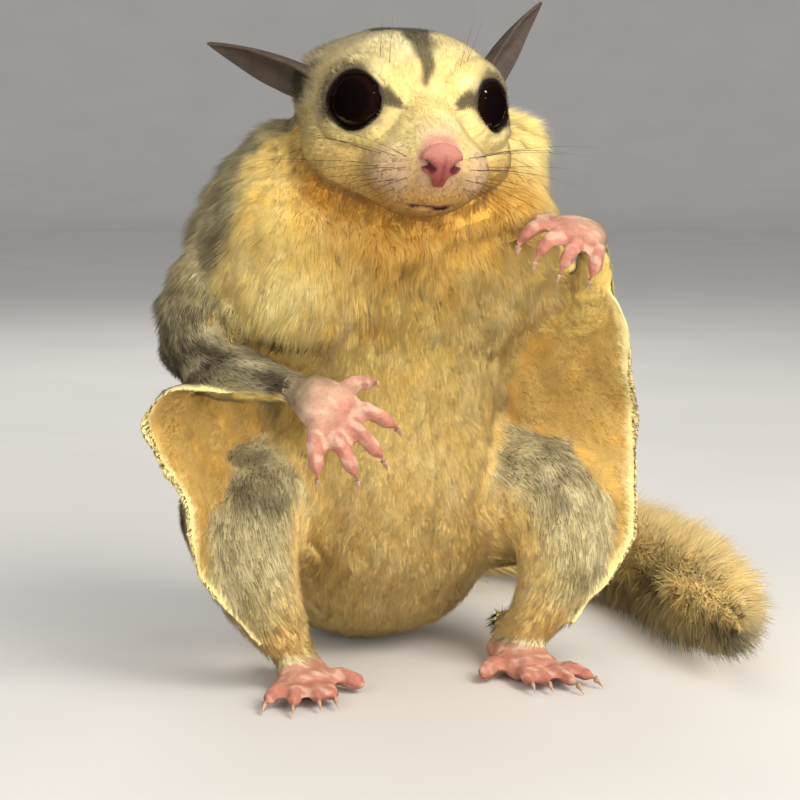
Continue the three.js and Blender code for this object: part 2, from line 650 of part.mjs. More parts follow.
const inHead = (solid) => solidOf(geometryOf(solid).applyMatrix4(headPlace));
const headShape = headGeometry();
const headRoomLocal = solidOf(outward(headShape, GAP));
const socketed = [LEFT, RIGHT].reduce(
  (skin, side) => skin.subtract(solidOf(openingGeometry(side))).add(solidOf(lidGeometry(side))),
  solidOf(headShape));
const headLocal = largest([LEFT, RIGHT].reduce(
  (skin, side) => skin.subtract(eyeSolid(side, EYE_RADIUS + GAP)), socketed).subtract(solidOf(mouthGeometry())));
const head = { solid: inHead(headLocal), room: inHead(headRoomLocal) };

addPart('head', head.solid, FUR_CREAM);
addPart('nose', inHead(noseSolid(headRoomLocal)), NOSE_PINK, 0.5);
addPart('neck', clearOf(neckSolid, head), FUR_GOLD);
addPart('torso', clearOf(torsoSolid, head), FUR_GOLD);

for (const [name, side] of Object.entries(SIDES)) {
  addPart(`eye_${name}`, inHead(eyeSolid(side, EYE_RADIUS)), EYE_BLACK, 0.08);
  const ear = solidOf(earGeometry(EARS[name]));
  addPart(`ear_${name}`, inHead(largest(ear.subtract(headRoomLocal))), EAR_BROWN, 0.7);
  addPart(`arm_${name}`, clearOf(arms[name].solid, trunk, head), FUR_GREY);
  addPart(`hand_${name}`, clearOf(hands[name].solid, arms[name], trunk), SKIN_PINK, 0.6);
  addPart(`leg_${name}`, clearOf(legs[name].solid, trunk), FUR_GREY);
  addPart(`foot_${name}`, clearOf(feet[name].solid, legs[name], trunk), SKIN_PINK, 0.6);
  const membrane = solidOf(membraneGeometry(MEMBRANES[name]));
  addPart(`membrane_${name}`,
    clearOf(membrane, trunk, head, arms[name], legs[name], hands[name], feet[name]), FUR_GOLD);
}

for (let i = 0; i < TAIL_CUTS.length - 1; i++) {
  const room = i === 0 ? [trunk] : [];
  addPart(`tail_${i + 1}`, clearOf(tailPiece(i), ...room), FUR_CREAM);
}

// The origin is under the middle of the whole animal, on the floor
const extent = new THREE.Box3().setFromObject(glider);
const middle = extent.getCenter(new THREE.Vector3());
glider.position.set(-middle.x, -middle.y, -extent.min.z);
glider.updateMatrixWorld(true);

export default glider;
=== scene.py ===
"""A life-size sugar glider that sits upright on its haunches: its skin, coat, eyes, nose, claws and whiskers.

Sizes are in millimetres in the animal's own frame: it faces -Y, its left side is +X and the floor is at Z 0.
Meshes are written in metres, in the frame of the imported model.
"""

import logging
import math
from dataclasses import dataclass, field
from enum import Enum

import bpy
import numpy as np
from mathutils import Matrix, Vector
from mathutils.bvhtree import BVHTree
from mathutils.kdtree import KDTree


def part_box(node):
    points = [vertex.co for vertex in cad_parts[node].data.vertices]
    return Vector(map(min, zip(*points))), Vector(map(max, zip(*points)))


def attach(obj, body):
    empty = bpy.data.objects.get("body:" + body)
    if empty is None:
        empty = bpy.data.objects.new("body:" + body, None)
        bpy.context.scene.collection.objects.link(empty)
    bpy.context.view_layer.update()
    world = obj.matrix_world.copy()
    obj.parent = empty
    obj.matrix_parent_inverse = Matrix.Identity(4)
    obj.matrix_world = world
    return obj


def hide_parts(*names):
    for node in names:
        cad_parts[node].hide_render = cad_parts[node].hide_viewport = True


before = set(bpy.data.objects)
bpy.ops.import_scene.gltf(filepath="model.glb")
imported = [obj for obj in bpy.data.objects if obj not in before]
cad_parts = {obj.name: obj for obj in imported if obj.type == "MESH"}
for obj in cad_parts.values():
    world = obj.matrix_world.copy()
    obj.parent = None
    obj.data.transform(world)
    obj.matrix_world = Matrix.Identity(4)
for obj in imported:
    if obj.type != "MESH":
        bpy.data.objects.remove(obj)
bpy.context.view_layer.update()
LOG = logging.getLogger("sugar_glider")

Array = np.ndarray
Triple = tuple[float, float, float]
Parts = dict["Region", Array]
Piece = bpy.types.Object
Chance = np.random.Generator

# Sizes that the solids share
CROWN_HEIGHT = 112.0
HEAD_HALF_HEIGHT = 14.5
HEAD_PITCH = 0.1
HEAD_ROLL = 0.04
EYE_RADIUS = 5.7
EYE_OPENING = 4.9
LIDS = {"left": 3.8, "right": 4.3}
EYE_MIDDLE = (9.1, -7.7, 1.3)
EYE_AXIS = (0.64, -0.75, 0.16)
TAIL_RADIUS = 12.0
TAIL_CORE = 5.2
SIDES = {"left": 1.0, "right": -1.0}

HEAD_BLOBS = (
    (0, 6, 0, 18.2, 17.5, 14),
    (0, -3, 5.2, 14, 9, 8.4),
    (9.8, -1.5, -7.6, 9, 10.5, 8),
    (-9.8, -1.5, -7.6, 9, 10.5, 8),
    (0, -11.5, -6.6, 9.6, 10.5, 7),
    (0, -10.5, -1.4, 5.6, 9.5, 5.2),
    (5.3, -16.6, -8.6, 5.1, 4.9, 4.5),
    (-5.3, -16.6, -8.6, 5.1, 4.9, 4.5),
    (0, -20, -5.4, 3.6, 3.8, 3.3),
    (0, -12.5, -13.2, 7, 7, 3.6),
    (0, -1, -11.4, 12.5, 12.5, 5.8),
    (9, -6.9, 1.2, 6.4, 6.1, 6.1),
    (-9, -6.9, 1.2, 6.4, 6.1, 6.1),
)
TRUNK_BLOBS = (
    (0, 19, 19, 24.5, 24, 20),
    (0, 11.5, 31, 22, 22.5, 22),
    (0, 12, 44, 21.5, 20.5, 20),
    (0, 11, 57, 24.5, 20, 17),
    (0, 6, 71, 28.5, 18.5, 16),
    (-19, -5, 73, 14.5, 12.5, 15.5),
    (18.5, -2, 73, 12, 11, 13),
    (0, -2, 76, 20, 15, 13),
    (0, 4, 84, 22, 17, 12),
    (11, 6, 89, 13.5, 12.5, 10),
    (-11, 6, 89, 13.5, 12.5, 10),
)
ARMS = {
    "left": (
        (14, 5, 77, 9), (24, 3, 71, 9.1), (31, 2, 64, 7.4), (33.5, -6, 63.5, 5.8), (32, -13.5, 69, 4.7),
        (29.6, -19.5, 75, 3.4),
    ),
    "right": (
        (-14, 4, 77, 9), (-25, 0, 70, 9.5), (-32, -3, 60.5, 7.7), (-33.5, -11, 55.5, 6.5),
        (-29, -19, 54, 5.2), (-22.5, -25, 53, 3.4),
    ),
}
LEG = (
    (13, 20, 23, 15.2), (22, 9, 27, 14.5), (28, -5, 27.5, 11.6), (27, -12, 18, 8.7), (22.5, -11.5, 9, 6),
    (19, -5, 4.8, 4),
)
MEMBRANES = {
    "left": (
        ((30.5, -16, 72), (32, -4, 63), (20, 8, 52), (20, 10, 40), (24, 0, 24), (20, -8, 10)),
        ((32, -17.5, 69), (38.5, -15, 60), (41.5, -11.5, 49), (42, -11.5, 38), (40, -17, 24), (28, -18, 8)),
    ),
    "right": (
        ((-23, -23, 52.5), (-30, -10, 55.5), (-24, 5, 54), (-20, 8, 46), (-20, 8, 38), (-22, 2, 28),
         (-20, -8, 10)),
        ((-24, -23, 49), (-32, -22, 51.5), (-42, -18.5, 51.5), (-47.5, -15.5, 46), (-44.5, -15.5, 40),
         (-40, -17, 34), (-38.5, -17, 22), (-28, -18, 8)),
    ),
}
MEMBRANE_WAVES = {"left": 1.6, "right": 0.8}
TAIL_PATH = (
    (0, 33, 15), (5, 45, 12), (20, 55, 10.2), (39, 53, 10.2), (52, 38, 10.2), (56.5, 16, 10.2),
    (55.5, -8, 10.2), (52, -33, 10.2),
)


def brush_at(share: Array) -> Array:
    """Half the width of the tail out to the tips of its fur, at shares of its length."""
    point = np.maximum(0, (share - 0.78) / 0.22) ** 1.9
    return TAIL_RADIUS * np.minimum(1, 0.74 + 1.5 * share) * (1 - 0.9 * point)


def core_at(share: Array) -> Array:
    """Half the width of the tail under its fur, at shares of its length."""
    return TAIL_CORE * (1 - 0.9 * np.maximum(0, (share - 0.72) / 0.28) ** 2)


def head_matrix() -> Matrix:
    """The matrix from the head's own frame to the animal's."""
    turn = Matrix.Rotation(HEAD_PITCH, 4, "X") @ Matrix.Rotation(HEAD_ROLL, 4, "Y")
    return Matrix.Translation((0, -8, CROWN_HEIGHT - HEAD_HALF_HEIGHT)) @ turn


HEAD = np.array(head_matrix())
_EYE_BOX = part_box("eye_left")
SHIFT = np.array((_EYE_BOX[0] + _EYE_BOX[1]) / 2) * 1000 - np.array(head_matrix() @ Vector(EYE_MIDDLE))


def from_head(points: Array) -> Array:
    """Points of the head's own frame, in the animal's frame."""
    return np.asarray(points, float) @ HEAD[:3, :3].T + HEAD[:3, 3]


def to_head(points: Array) -> Array:
    """Points of the animal's frame, in the head's own frame."""
    return (points - HEAD[:3, 3]) @ HEAD[:3, :3]


def eye_of(side: float) -> tuple[Array, Array]:
    """The middle of an eyeball and the way that it looks, in the head's own frame."""
    return np.array(EYE_MIDDLE) * (side, 1, 1), unit(np.array(EYE_AXIS) * (side, 1, 1))


def mirrored(knots: tuple[tuple[float, ...], ...]) -> tuple[tuple[float, ...], ...]:
    """The same knots on the other side of the body."""
    return tuple((-x, *rest) for x, *rest in knots)


def unit(vectors: Array) -> Array:
    """Vectors at length one."""
    return vectors / np.maximum(np.linalg.norm(vectors, axis=-1, keepdims=True), 1e-9)


def flattened(ways: Array, normals: Array) -> Array:
    """Ways turned to lie along a surface with these normals, at length one."""
    return unit(ways - normals * np.sum(ways * normals, axis=1, keepdims=True))


def lengths(rows: Array) -> Array:
    """The length of each row."""
    return np.linalg.norm(rows, axis=1)


def step(low: float, high: float, values: Array) -> Array:
    """A smooth rise from 0 at low to 1 at high, or a fall where high is the lower one."""
    share = np.clip((values - low) / (high - low), 0, 1)
    return share * share * (3 - 2 * share)


def bell(values: Array, width: float) -> Array:
    """A soft bump of height one about zero."""
    return np.exp(-((values / width) ** 2))


def ripple(points: Array, size: float, seed: int) -> Array:
    """A repeatable soft noise from -1 to 1.

    Args:
        points: Places, one row each.
        size: The usual distance between its hills.
        seed: Picks one of many patterns.

    Returns:
        One value for each place.
    """
    draw = np.random.default_rng(seed)
    total = np.zeros(len(points))
    for _ in range(7):
        wave = unit(draw.normal(size=3)) * (2 * math.pi / size) * draw.uniform(0.55, 1.5)
        total += np.sin(points @ wave + draw.uniform(0, 2 * math.pi))
    return total / 3.2


def spline(knots: tuple[tuple[float, ...], ...], count: int, even: bool = True) -> Array:
    """Places along a smooth curve through knots.

    Args:
        knots: The places that the curve passes.
        count: How many places to return.
        even: Whether they are evenly spread along the curve, or between each pair of knots.

    Returns:
        The places, one row each.
    """
    path = np.array(knots, float)
    path = np.vstack([2 * path[0] - path[1], path, 2 * path[-1] - path[-2]])
    shares = np.linspace(0, len(knots) - 1, count if not even else 24 * len(knots))
    piece = np.minimum(shares.astype(int), len(knots) - 2)
    t = (shares - piece)[:, None]
    a, b, c, d = (path[piece + k] for k in range(4))
    pairs = ((a, b), (b, c), (c, d))
    gaps = [np.sqrt(lengths((q - p)[:, :3])[:, None]) for p, q in pairs]
    start = ((b - a) / gaps[0] - (c - a) / (gaps[0] + gaps[1]) + (c - b) / gaps[1]) * gaps[1]
    end = ((c - b) / gaps[1] - (d - b) / (gaps[1] + gaps[2]) + (d - c) / gaps[2]) * gaps[1]
    line = b + t * (start + t * (3 * (c - b) - 2 * start - end + t * (2 * (b - c) + start + end)))
    if not even:
        return line
    along = np.concatenate([[0], np.cumsum(lengths(np.diff(line[:, :3], axis=0)))])
    wanted = np.linspace(0, along[-1], count)
    return np.stack([np.interp(wanted, along, column) for column in line.T], axis=1)


def nearest_on(line: Array, points: Array) -> tuple[Array, Array]:
    """The nearest place of a line to each point.

    Args:
        line: Places along the line.
        points: The points to measure from.

    Returns:
        The index of the nearest place and the distance to it.
    """
    best = np.full(len(points), np.inf)
    index = np.zeros(len(points), int)
    for i, place in enumerate(line):
        distance = lengths(points - place)
        closer = distance < best
        best[closer] = distance[closer]
        index[closer] = i
    return index, best


def nearest_of(places: Array, points: Array) -> Array:
    """The index of the nearest of some places to each point."""
    tree = KDTree(len(places))
    for i, place in enumerate(places):
        tree.insert(place, i)
    tree.balance()
    return np.array([tree.find(point)[1] for point in points])


def tangents(line: Array) -> Array:
    """The direction of a line at each of its places."""
    return unit(np.gradient(line, axis=0))


@dataclass(frozen=True)
class SoftForm:
    """Ellipsoids blended into one soft form."""

    blobs: tuple[tuple[float, ...], ...]
    softness: float

    def measure(self, points: Array) -> Array:
        """A value for each point that is negative inside the form."""
        value = np.full(len(points), np.inf)
        for blob in self.blobs:
            radii = np.array(blob[3:])
            other = (lengths((points - blob[:3]) / radii) - 1) * radii.min()
            near = np.maximum(self.softness - np.abs(value - other), 0) / self.softness
            value = np.minimum(value, other) - near * near * self.softness / 4
        return value

    def draw_on(self, points: Array, normals: Array, rounds: int = 5) -> Array:
        """Moves points along their normals on to the form.

        Args:
            points: Places near the form.
            normals: The way that each may move.
            rounds: How often the move is corrected.

        Returns:
            The moved places.
        """
        for _ in range(rounds):
            value = self.measure(points)
            slope = (self.measure(points + normals * 0.05) - value) / 0.05
            slope = np.maximum(slope, 0.3)
            points = points - normals * np.clip(value / slope, -0.6, 0.6)[:, None]
        return points


HEAD_FORM = SoftForm(HEAD_BLOBS, 3.2)
TRUNK_FORM = SoftForm(TRUNK_BLOBS, 8)


class Region(Enum):
    """The parts of the body that differ in coat."""

    HEAD = ("head", "nose")
    NECK = ("neck",)
    TORSO = ("torso",)
    ARM = ("arm_left", "arm_right")
    HAND = ("hand_left", "hand_right")
    LEG = ("leg_left", "leg_right")
    FOOT = ("foot_left", "foot_right")
    MEMBRANE = ("membrane_left", "membrane_right")
    TAIL = ("tail_1", "tail_2", "tail_3", "tail_4")
    EAR = ("ear_left", "ear_right")


def in_metres(points: Array) -> Array:
    """Points of the animal's frame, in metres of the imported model's."""
    return (points + SHIFT) / 1000


def places_of(piece: Piece) -> Array:
    """Where a piece's points are, in metres."""
    raw = np.empty(len(piece.data.vertices) * 3, np.float32)
    piece.data.vertices.foreach_get("co", raw)
    return raw.reshape(-1, 3)


def put_at(piece: Piece, places: Array) -> None:
    """Moves a piece's points to places in metres."""
    piece.data.vertices.foreach_set("co", places.astype(np.float32).ravel())
    piece.data.update()


@dataclass
class Surface:
    """A piece's points, edges and normals as arrays, in millimetres of the animal's own frame."""

    piece: Piece
    points: Array = field(init=False)
    edges: Array = field(init=False)
    degree: Array = field(init=False)

    def __post_init__(self) -> None:
        """Reads the mesh."""
        mesh = self.piece.data
        self.points = places_of(self.piece).astype(float) * 1000 - SHIFT
        pairs = np.empty(len(mesh.edges) * 2, np.int32)
        mesh.edges.foreach_get("vertices", pairs)
        self.edges = pairs.reshape(-1, 2)
        self.degree = np.maximum(np.bincount(pairs, minlength=len(self.points)), 1)

    def write(self) -> None:
        """Writes the points back to the mesh."""
        put_at(self.piece, in_metres(self.points))

    def normals(self) -> Array:
        """The outward normal at each point."""
        self.write()
        raw = np.empty(len(self.points) * 3, np.float32)
        self.piece.data.vertex_normals.foreach_get("vector", raw)
        return raw.reshape(-1, 3).astype(float)

    def spread(self, values: Array, rounds: int, share: Array | float = 0.6) -> Array:
        """Evens values out between neighbouring points.

        Args:
            values: One value or row for each point.
            rounds: How often each value moves towards its neighbours' mean.
            share: How far it moves each time.

        Returns:
            The evened values.
        """
        flat = values.ndim == 1
        values = values[:, None] if flat else values
        share = share[:, None] if isinstance(share, np.ndarray) else share
        first, second = self.edges.T
        count = len(self.points)
        for _ in range(rounds):
            mean = np.stack(
                [
                    np.bincount(first, column[second], count) + np.bincount(second, column[first], count)
                    for column in values.T
                ],
                axis=1,
            )
            values = values + share * (mean / self.degree[:, None] - values)
        return values[:, 0] if flat else values


def deselect() -> None:
    """Clears the selection, so that an operator acts on its own piece only."""
    for other in bpy.context.selected_objects:
        other.select_set(False)


def activate(*pieces: Piece) -> Piece:
    """Selects pieces alone and makes the first one active."""
    deselect()
    for piece in pieces:
        piece.select_set(True)
    bpy.context.view_layer.objects.active = pieces[0]
    return pieces[0]


def just_made(name: str) -> Piece:
    """The piece that an operator has just made, under its name."""
    piece = bpy.context.view_layer.objects.active
    piece.name = piece.data.name = name
    return piece


def edit_all(*operators: tuple) -> None:
    """Runs mesh operators on all of the active piece in edit mode.

    Args:
        operators: Pairs of an operator and its settings.
    """
    bpy.ops.object.mode_set(mode="EDIT")
    bpy.ops.mesh.select_all(action="SELECT")
    for operator, settings in operators:
        operator(**settings)
    bpy.ops.object.mode_set(mode="OBJECT")


def finish_with(piece: Piece, kind: str, **settings: object) -> None:
    """Adds a modifier to a piece and applies it.

    Args:
        piece: The piece to change.
        kind: The modifier's type.
        settings: Its settings.
    """
    activate(piece)
    modifier = piece.modifiers.new(kind.lower(), kind)
    for name, value in settings.items():
        setattr(modifier, name, value)
    bpy.ops.object.modifier_apply(modifier=modifier.name)


def copy_of(*names: str) -> Piece:
    """One merged copy of some CAD nodes."""
    copies = []
    for name in names:
        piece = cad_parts[name].copy()
        piece.data = piece.data.copy()
        piece.data.materials.clear()
        piece.parent = None
        for key in list(piece.keys()):
            del piece[key]
        bpy.context.collection.objects.link(piece)
        copies.append(piece)
    activate(*copies)
    if len(copies) > 1:
        bpy.ops.object.join()
    piece = bpy.context.view_layer.objects.active
    edit_all((bpy.ops.mesh.remove_doubles, {"threshold": 1e-6}))
    return piece


def piece_of(name: str, points: Array, faces: list) -> Piece:
    """A new piece from places in the animal's frame and faces."""
    mesh = bpy.data.meshes.new(name)
    mesh.from_pydata(in_metres(points).tolist(), [], faces)
    piece = bpy.data.objects.new(name, mesh)
    bpy.context.collection.objects.link(piece)
    return piece


def tube(name: str, path: Array, radius: Array) -> Piece:
    """A closed tube round a path, from a grid that is wrapped round it.

    Args:
        name: The piece's name.
        path: Places along its middle.
        radius: Half its width at each.

    Returns:
        The new piece.
    """
    rings = len(path)
    bpy.ops.mesh.primitive_grid_add(x_subdivisions=24, y_subdivisions=rings - 1, size=2)
    piece = just_made(name)
    turn, share = (places_of(piece)[:, :2].T + 1) / 2
    way = tangents(path)
    upward = unit(np.array([0, 0, 1.0]) - way * way[:, 2:3])
    sideways = np.cross(upward, way)
    place = np.rint(share * (rings - 1)).astype(int)
    angle = (turn * 2 * math.pi)[:, None]
    ring = sideways[place] * np.cos(angle) + upward[place] * np.sin(angle)
    reach = (radius[place] * ((place > 0) & (place < rings - 1)))[:, None]
    put_at(piece, in_metres(path[place] + ring * reach))
    activate(piece)
    edit_all(
        (bpy.ops.mesh.remove_doubles, {"threshold": 1e-6}),
        (bpy.ops.mesh.normals_make_consistent, {"inside": False}),
    )
    return piece


def set_attribute(piece: Piece, name: str, values: Array) -> None:
    """Gives a piece's points a number, vector or colour each."""
    kinds = {1: ("FLOAT", "value"), 3: ("FLOAT_VECTOR", "vector"), 4: ("FLOAT_COLOR", "color")}
    columns = 1 if values.ndim == 1 else values.shape[1]
    kind, slot = kinds[columns]
    layer = piece.data.attributes.new(name, kind, "POINT")
    layer.data.foreach_set(slot, np.ascontiguousarray(values, np.float32).ravel())


@dataclass
class Digit:
    """One finger or toe: its joints and the way that its claw points."""

    joints: Array
    forward: Array
    upward: Array
    radius: float
    claw: float


@dataclass(frozen=True)
class Stance:
    """Where a hand or foot is, where its digits point and which way its back faces."""

    place: Triple
    points: Triple
    back: Triple
    curl: float = 1.0
    scale: float = 1.0

    def matrix(self) -> Array:
        """The matrix from the hand's or foot's own frame to the animal's."""
        backward = -unit(np.array(self.points, float))
        sideways = unit(np.cross(backward, self.back))
        upward = np.cross(sideways, backward)
        turned = np.eye(4)
        turned[:3, :3] = np.stack([sideways, backward, upward], axis=1) * self.scale
        turned[:3, 3] = self.place
        return turned


@dataclass(frozen=True)
class DigitPlan:
    """A finger's or toe's sizes: place across, set back, fan, bones, half width and claw."""

    across: float
    back: float
    fan: float
    bones: Triple
    radius: float
    claw: float


FINGERS = (
    DigitPlan(-3.4, 2.6, -1.05, (3, 2.2, 1.2), 1.4, 1.7),
    DigitPlan(-2.3, 0.4, -0.4, (4, 2.8, 1.6), 1.4, 1.7),
    DigitPlan(0, 0, -0.02, (4.3, 3, 1.7), 1.4, 1.7),
    DigitPlan(2.1, 0.4, 0.32, (4.3, 3, 1.7), 1.4, 1.7),
    DigitPlan(3.5, 1.8, 0.75, (3.7, 2.6, 1.5), 1.4, 1.7),
)
TOES = (
    DigitPlan(3.9, 0, 0.42, (3.6, 3, 1.6), 1.45, 1.7),
    DigitPlan(1.5, 0, 0.16, (4.4, 3.4, 1.8), 1.45, 1.8),
    DigitPlan(-0.9, 0, -0.05, (3.6, 2.6, 1.5), 1.45, 1.6),
    DigitPlan(-2.9, 0, -0.16, (3.2, 2.3, 1.4), 1.45, 1.6),
    DigitPlan(-3.6, 6, -0.85, (3.8, 3, 1.8), 1.8, 0),
)
HANDS = {
    "left": Stance((29, -20.5, 76.6), (-0.8, -0.6, 0.05), (-0.05, -0.5, 0.86), 1.15, 1.08),
    "right": Stance((-21.5, -25.8, 52.7), (0.7, -0.42, -0.58), (0.15, -0.85, 0.5), 0.5, 1.15),
}
FEET = {
    "left": Stance((18.5, -5.5, 0), (0.12, -1, 0), (0, 0, 1)),
    "right": Stance((-18.5, -5.5, 0), (-0.12, -1, 0), (0, 0, 1)),
}


def digits_of(
    plans: tuple[DigitPlan, ...], stance: Stance, side: float, root: Triple, bends: Triple
) -> list[Digit]:
    """The digits of a hand or foot in the animal's frame.

    Args:
        plans: The sizes of each digit.
        stance: Where the hand or foot is.
        side: 1 on the left, -1 on the right.
        root: The middle of the row of knuckles, in the hand's own frame.
        bends: How far down each bone points.

    Returns:
        One digit for each plan.
    """
    matrix = stance.matrix()
    digits = []
    for plan in plans:
        heading = plan.fan * side
        ahead = np.array([math.sin(heading), -math.cos(heading), 0])
        joints = [np.array([plan.across * side, root[1] + plan.back, root[2]])]
        direction = ahead
        bend = 0.0
        for length, bend in zip(plan.bones, bends):
            direction = ahead * math.cos(bend) + np.array([0, 0, -math.sin(bend)])
            joints.append(joints[-1] + direction * length)
        upward = ahead * math.sin(bend) + np.array([0, 0, math.cos(bend)])
        turned = np.array(joints) @ matrix[:3, :3].T + matrix[:3, 3]
        digits.append(
            Digit(
                turned,
                unit(matrix[:3, :3] @ direction),
                unit(matrix[:3, :3] @ upward),
                plan.radius * stance.scale,
                plan.claw * stance.scale,
            )
        )
    return digits


def all_digits() -> dict[str, list[Digit]]:
    """The digits of each hand and foot by the name of its node."""
    found = {}
    for name, side in SIDES.items():
        hand = HANDS[name]
        bends = tuple(bend * hand.curl for bend in (0.05, 0.75, 1.35))
        found[f"hand_{name}"] = digits_of(FINGERS, hand, side, (0, -5.6, 0.1), bends)
        found[f"foot_{name}"] = digits_of(TOES, FEET[name], side, (0, -14.2, 2.2), (-0.05, 0.16, 0.3))
    return found


def every_digit() -> list[Digit]:
    """All fingers and toes."""
    return [digit for digits in all_digits().values() for digit in digits]


def trunk_of(regions: Parts) -> Array:
    """How far each point belongs to the neck or the body."""
    return regions[Region.NECK] + regions[Region.TORSO]


def by_part(regions: Parts, values: dict[str, Array | float]) -> Array:
    """Mixes values given by part of the body, as far as each point belongs to it."""
    return sum(regions[Region[name]] * value for name, value in values.items())


def paws_of(regions: Parts) -> Array:
    """How far each point belongs to a hand or a foot."""
    return regions[Region.HAND] + regions[Region.FOOT]


@dataclass(frozen=True)
class Sheet:
    """One gliding membrane as a sheet of places between its root and its free edge."""

    root: Array
    edge: Array

    ROWS = 90

    @classmethod
    def of(cls, side: str) -> "Sheet":
        """The membrane of one side, with the waves of its free edge."""
        root, edge = (spline(knots, cls.ROWS, even=False) for knots in MEMBRANES[side])
        share = np.linspace(0, 1, cls.ROWS)
        normal = unit(np.cross(edge - root, tangents(edge)))
        wave = np.sin(share * math.pi * 5) * MEMBRANE_WAVES[side] * np.sin(share * math.pi)
        return cls(root, edge + normal * wave[:, None])

    def find(self, points: Array, normals: Array) -> tuple[Array, Array]:
        """Where points lie in the sheet.

        Args:
            points: Places near the sheet.
            normals: The outward normal at each.

        Returns:
            The distance to the free edge, and how far the normal follows the sheet's own one, from -1 to 1.
        """
        across = self.edge - self.root
        normal = unit(np.cross(across, tangents(self.edge)))
        best = np.full(len(points), np.inf)
        facing = np.zeros(len(points))
        for i, start in enumerate(self.root):
            along = np.clip((points - start) @ across[i] / (across[i] @ across[i]), 0, 1)
            distance = lengths(points - start - along[:, None] * across[i])
            closer = distance < best
            best[closer] = distance[closer]
            facing[closer] = normals[closer] @ normal[i]
        return nearest_on(self.edge, points)[1], facing


def laid_on(line: Array, points: Array) -> Array:
    """A line moved to the nearest of the points all along, and evened out."""
    near = np.array([points[np.argmin(np.sum((points - place) ** 2, axis=1))] for place in line])
    for _ in range(6):
        near[1:-1] = (near[:-2] + near[2:] + 2 * near[1:-1]) / 4
    return near


@dataclass(frozen=True)
class Fold:
    """A fold along a line, with a lip that hangs over a groove."""

    line: tuple[Triple, ...]
    above: Triple
    lip: float
    groove: float
    width: float
    regions: tuple[Region, ...] = (Region.NECK, Region.TORSO)

    def rise(self, points: Array) -> Array:
        """How far each point moves out, or in where the value is negative."""
        line = laid_on(spline(self.line, 90), points)
        index, distance = nearest_on(line, points)
        side = np.sum((points - line[index]) * unit(np.array(self.above, float)), axis=1)
        away = np.sign(side) * distance
        share = index / (len(line) - 1)
        ends = step(0, 0.12, share) * step(1, 0.88, share)
        lip = self.lip * step(-0.4, 0.9, away) * bell(np.maximum(away - 0.9, 0), self.width)
        groove = self.groove * step(0.9, -0.4, away) * bell(np.minimum(away + 0.4, 0), self.width * 0.7)
        return (lip - groove) * ends


FOLDS = (
    Fold(
        ((-33, -6, 64), (-30, -10, 61.5), (-25, -11, 60), (-19, -12, 59), (-12, -11, 57.5)),
        (0, 0, 1), 2.3, 2.4, 4.6, (Region.NECK, Region.TORSO, Region.ARM),
    ),
    Fold(
        ((-14, -11, 57.5), (-9, -13, 62), (-3, -16, 70), (4.3, -17.3, 75), (12, -15.5, 78),
         (18.6, -13.7, 79.7), (26, -8, 83)),
        (-0.5, 0, 1), 1.4, 1.7, 4.4,
    ),
    Fold(
        ((5.5, -9, 50), (6, -10, 44), (6.5, -10.5, 36), (6.5, -10, 26), (6.4, -8, 16)),
        (1, 0, 0), 0.35, 0.9, 1.4,
    ),
    Fold(((-15, -2, 44), (-16, -4, 36), (-16, -4, 28), (-14, -5, 18)), (1, 0, 0), 0.3, 0.8, 1.5),
)


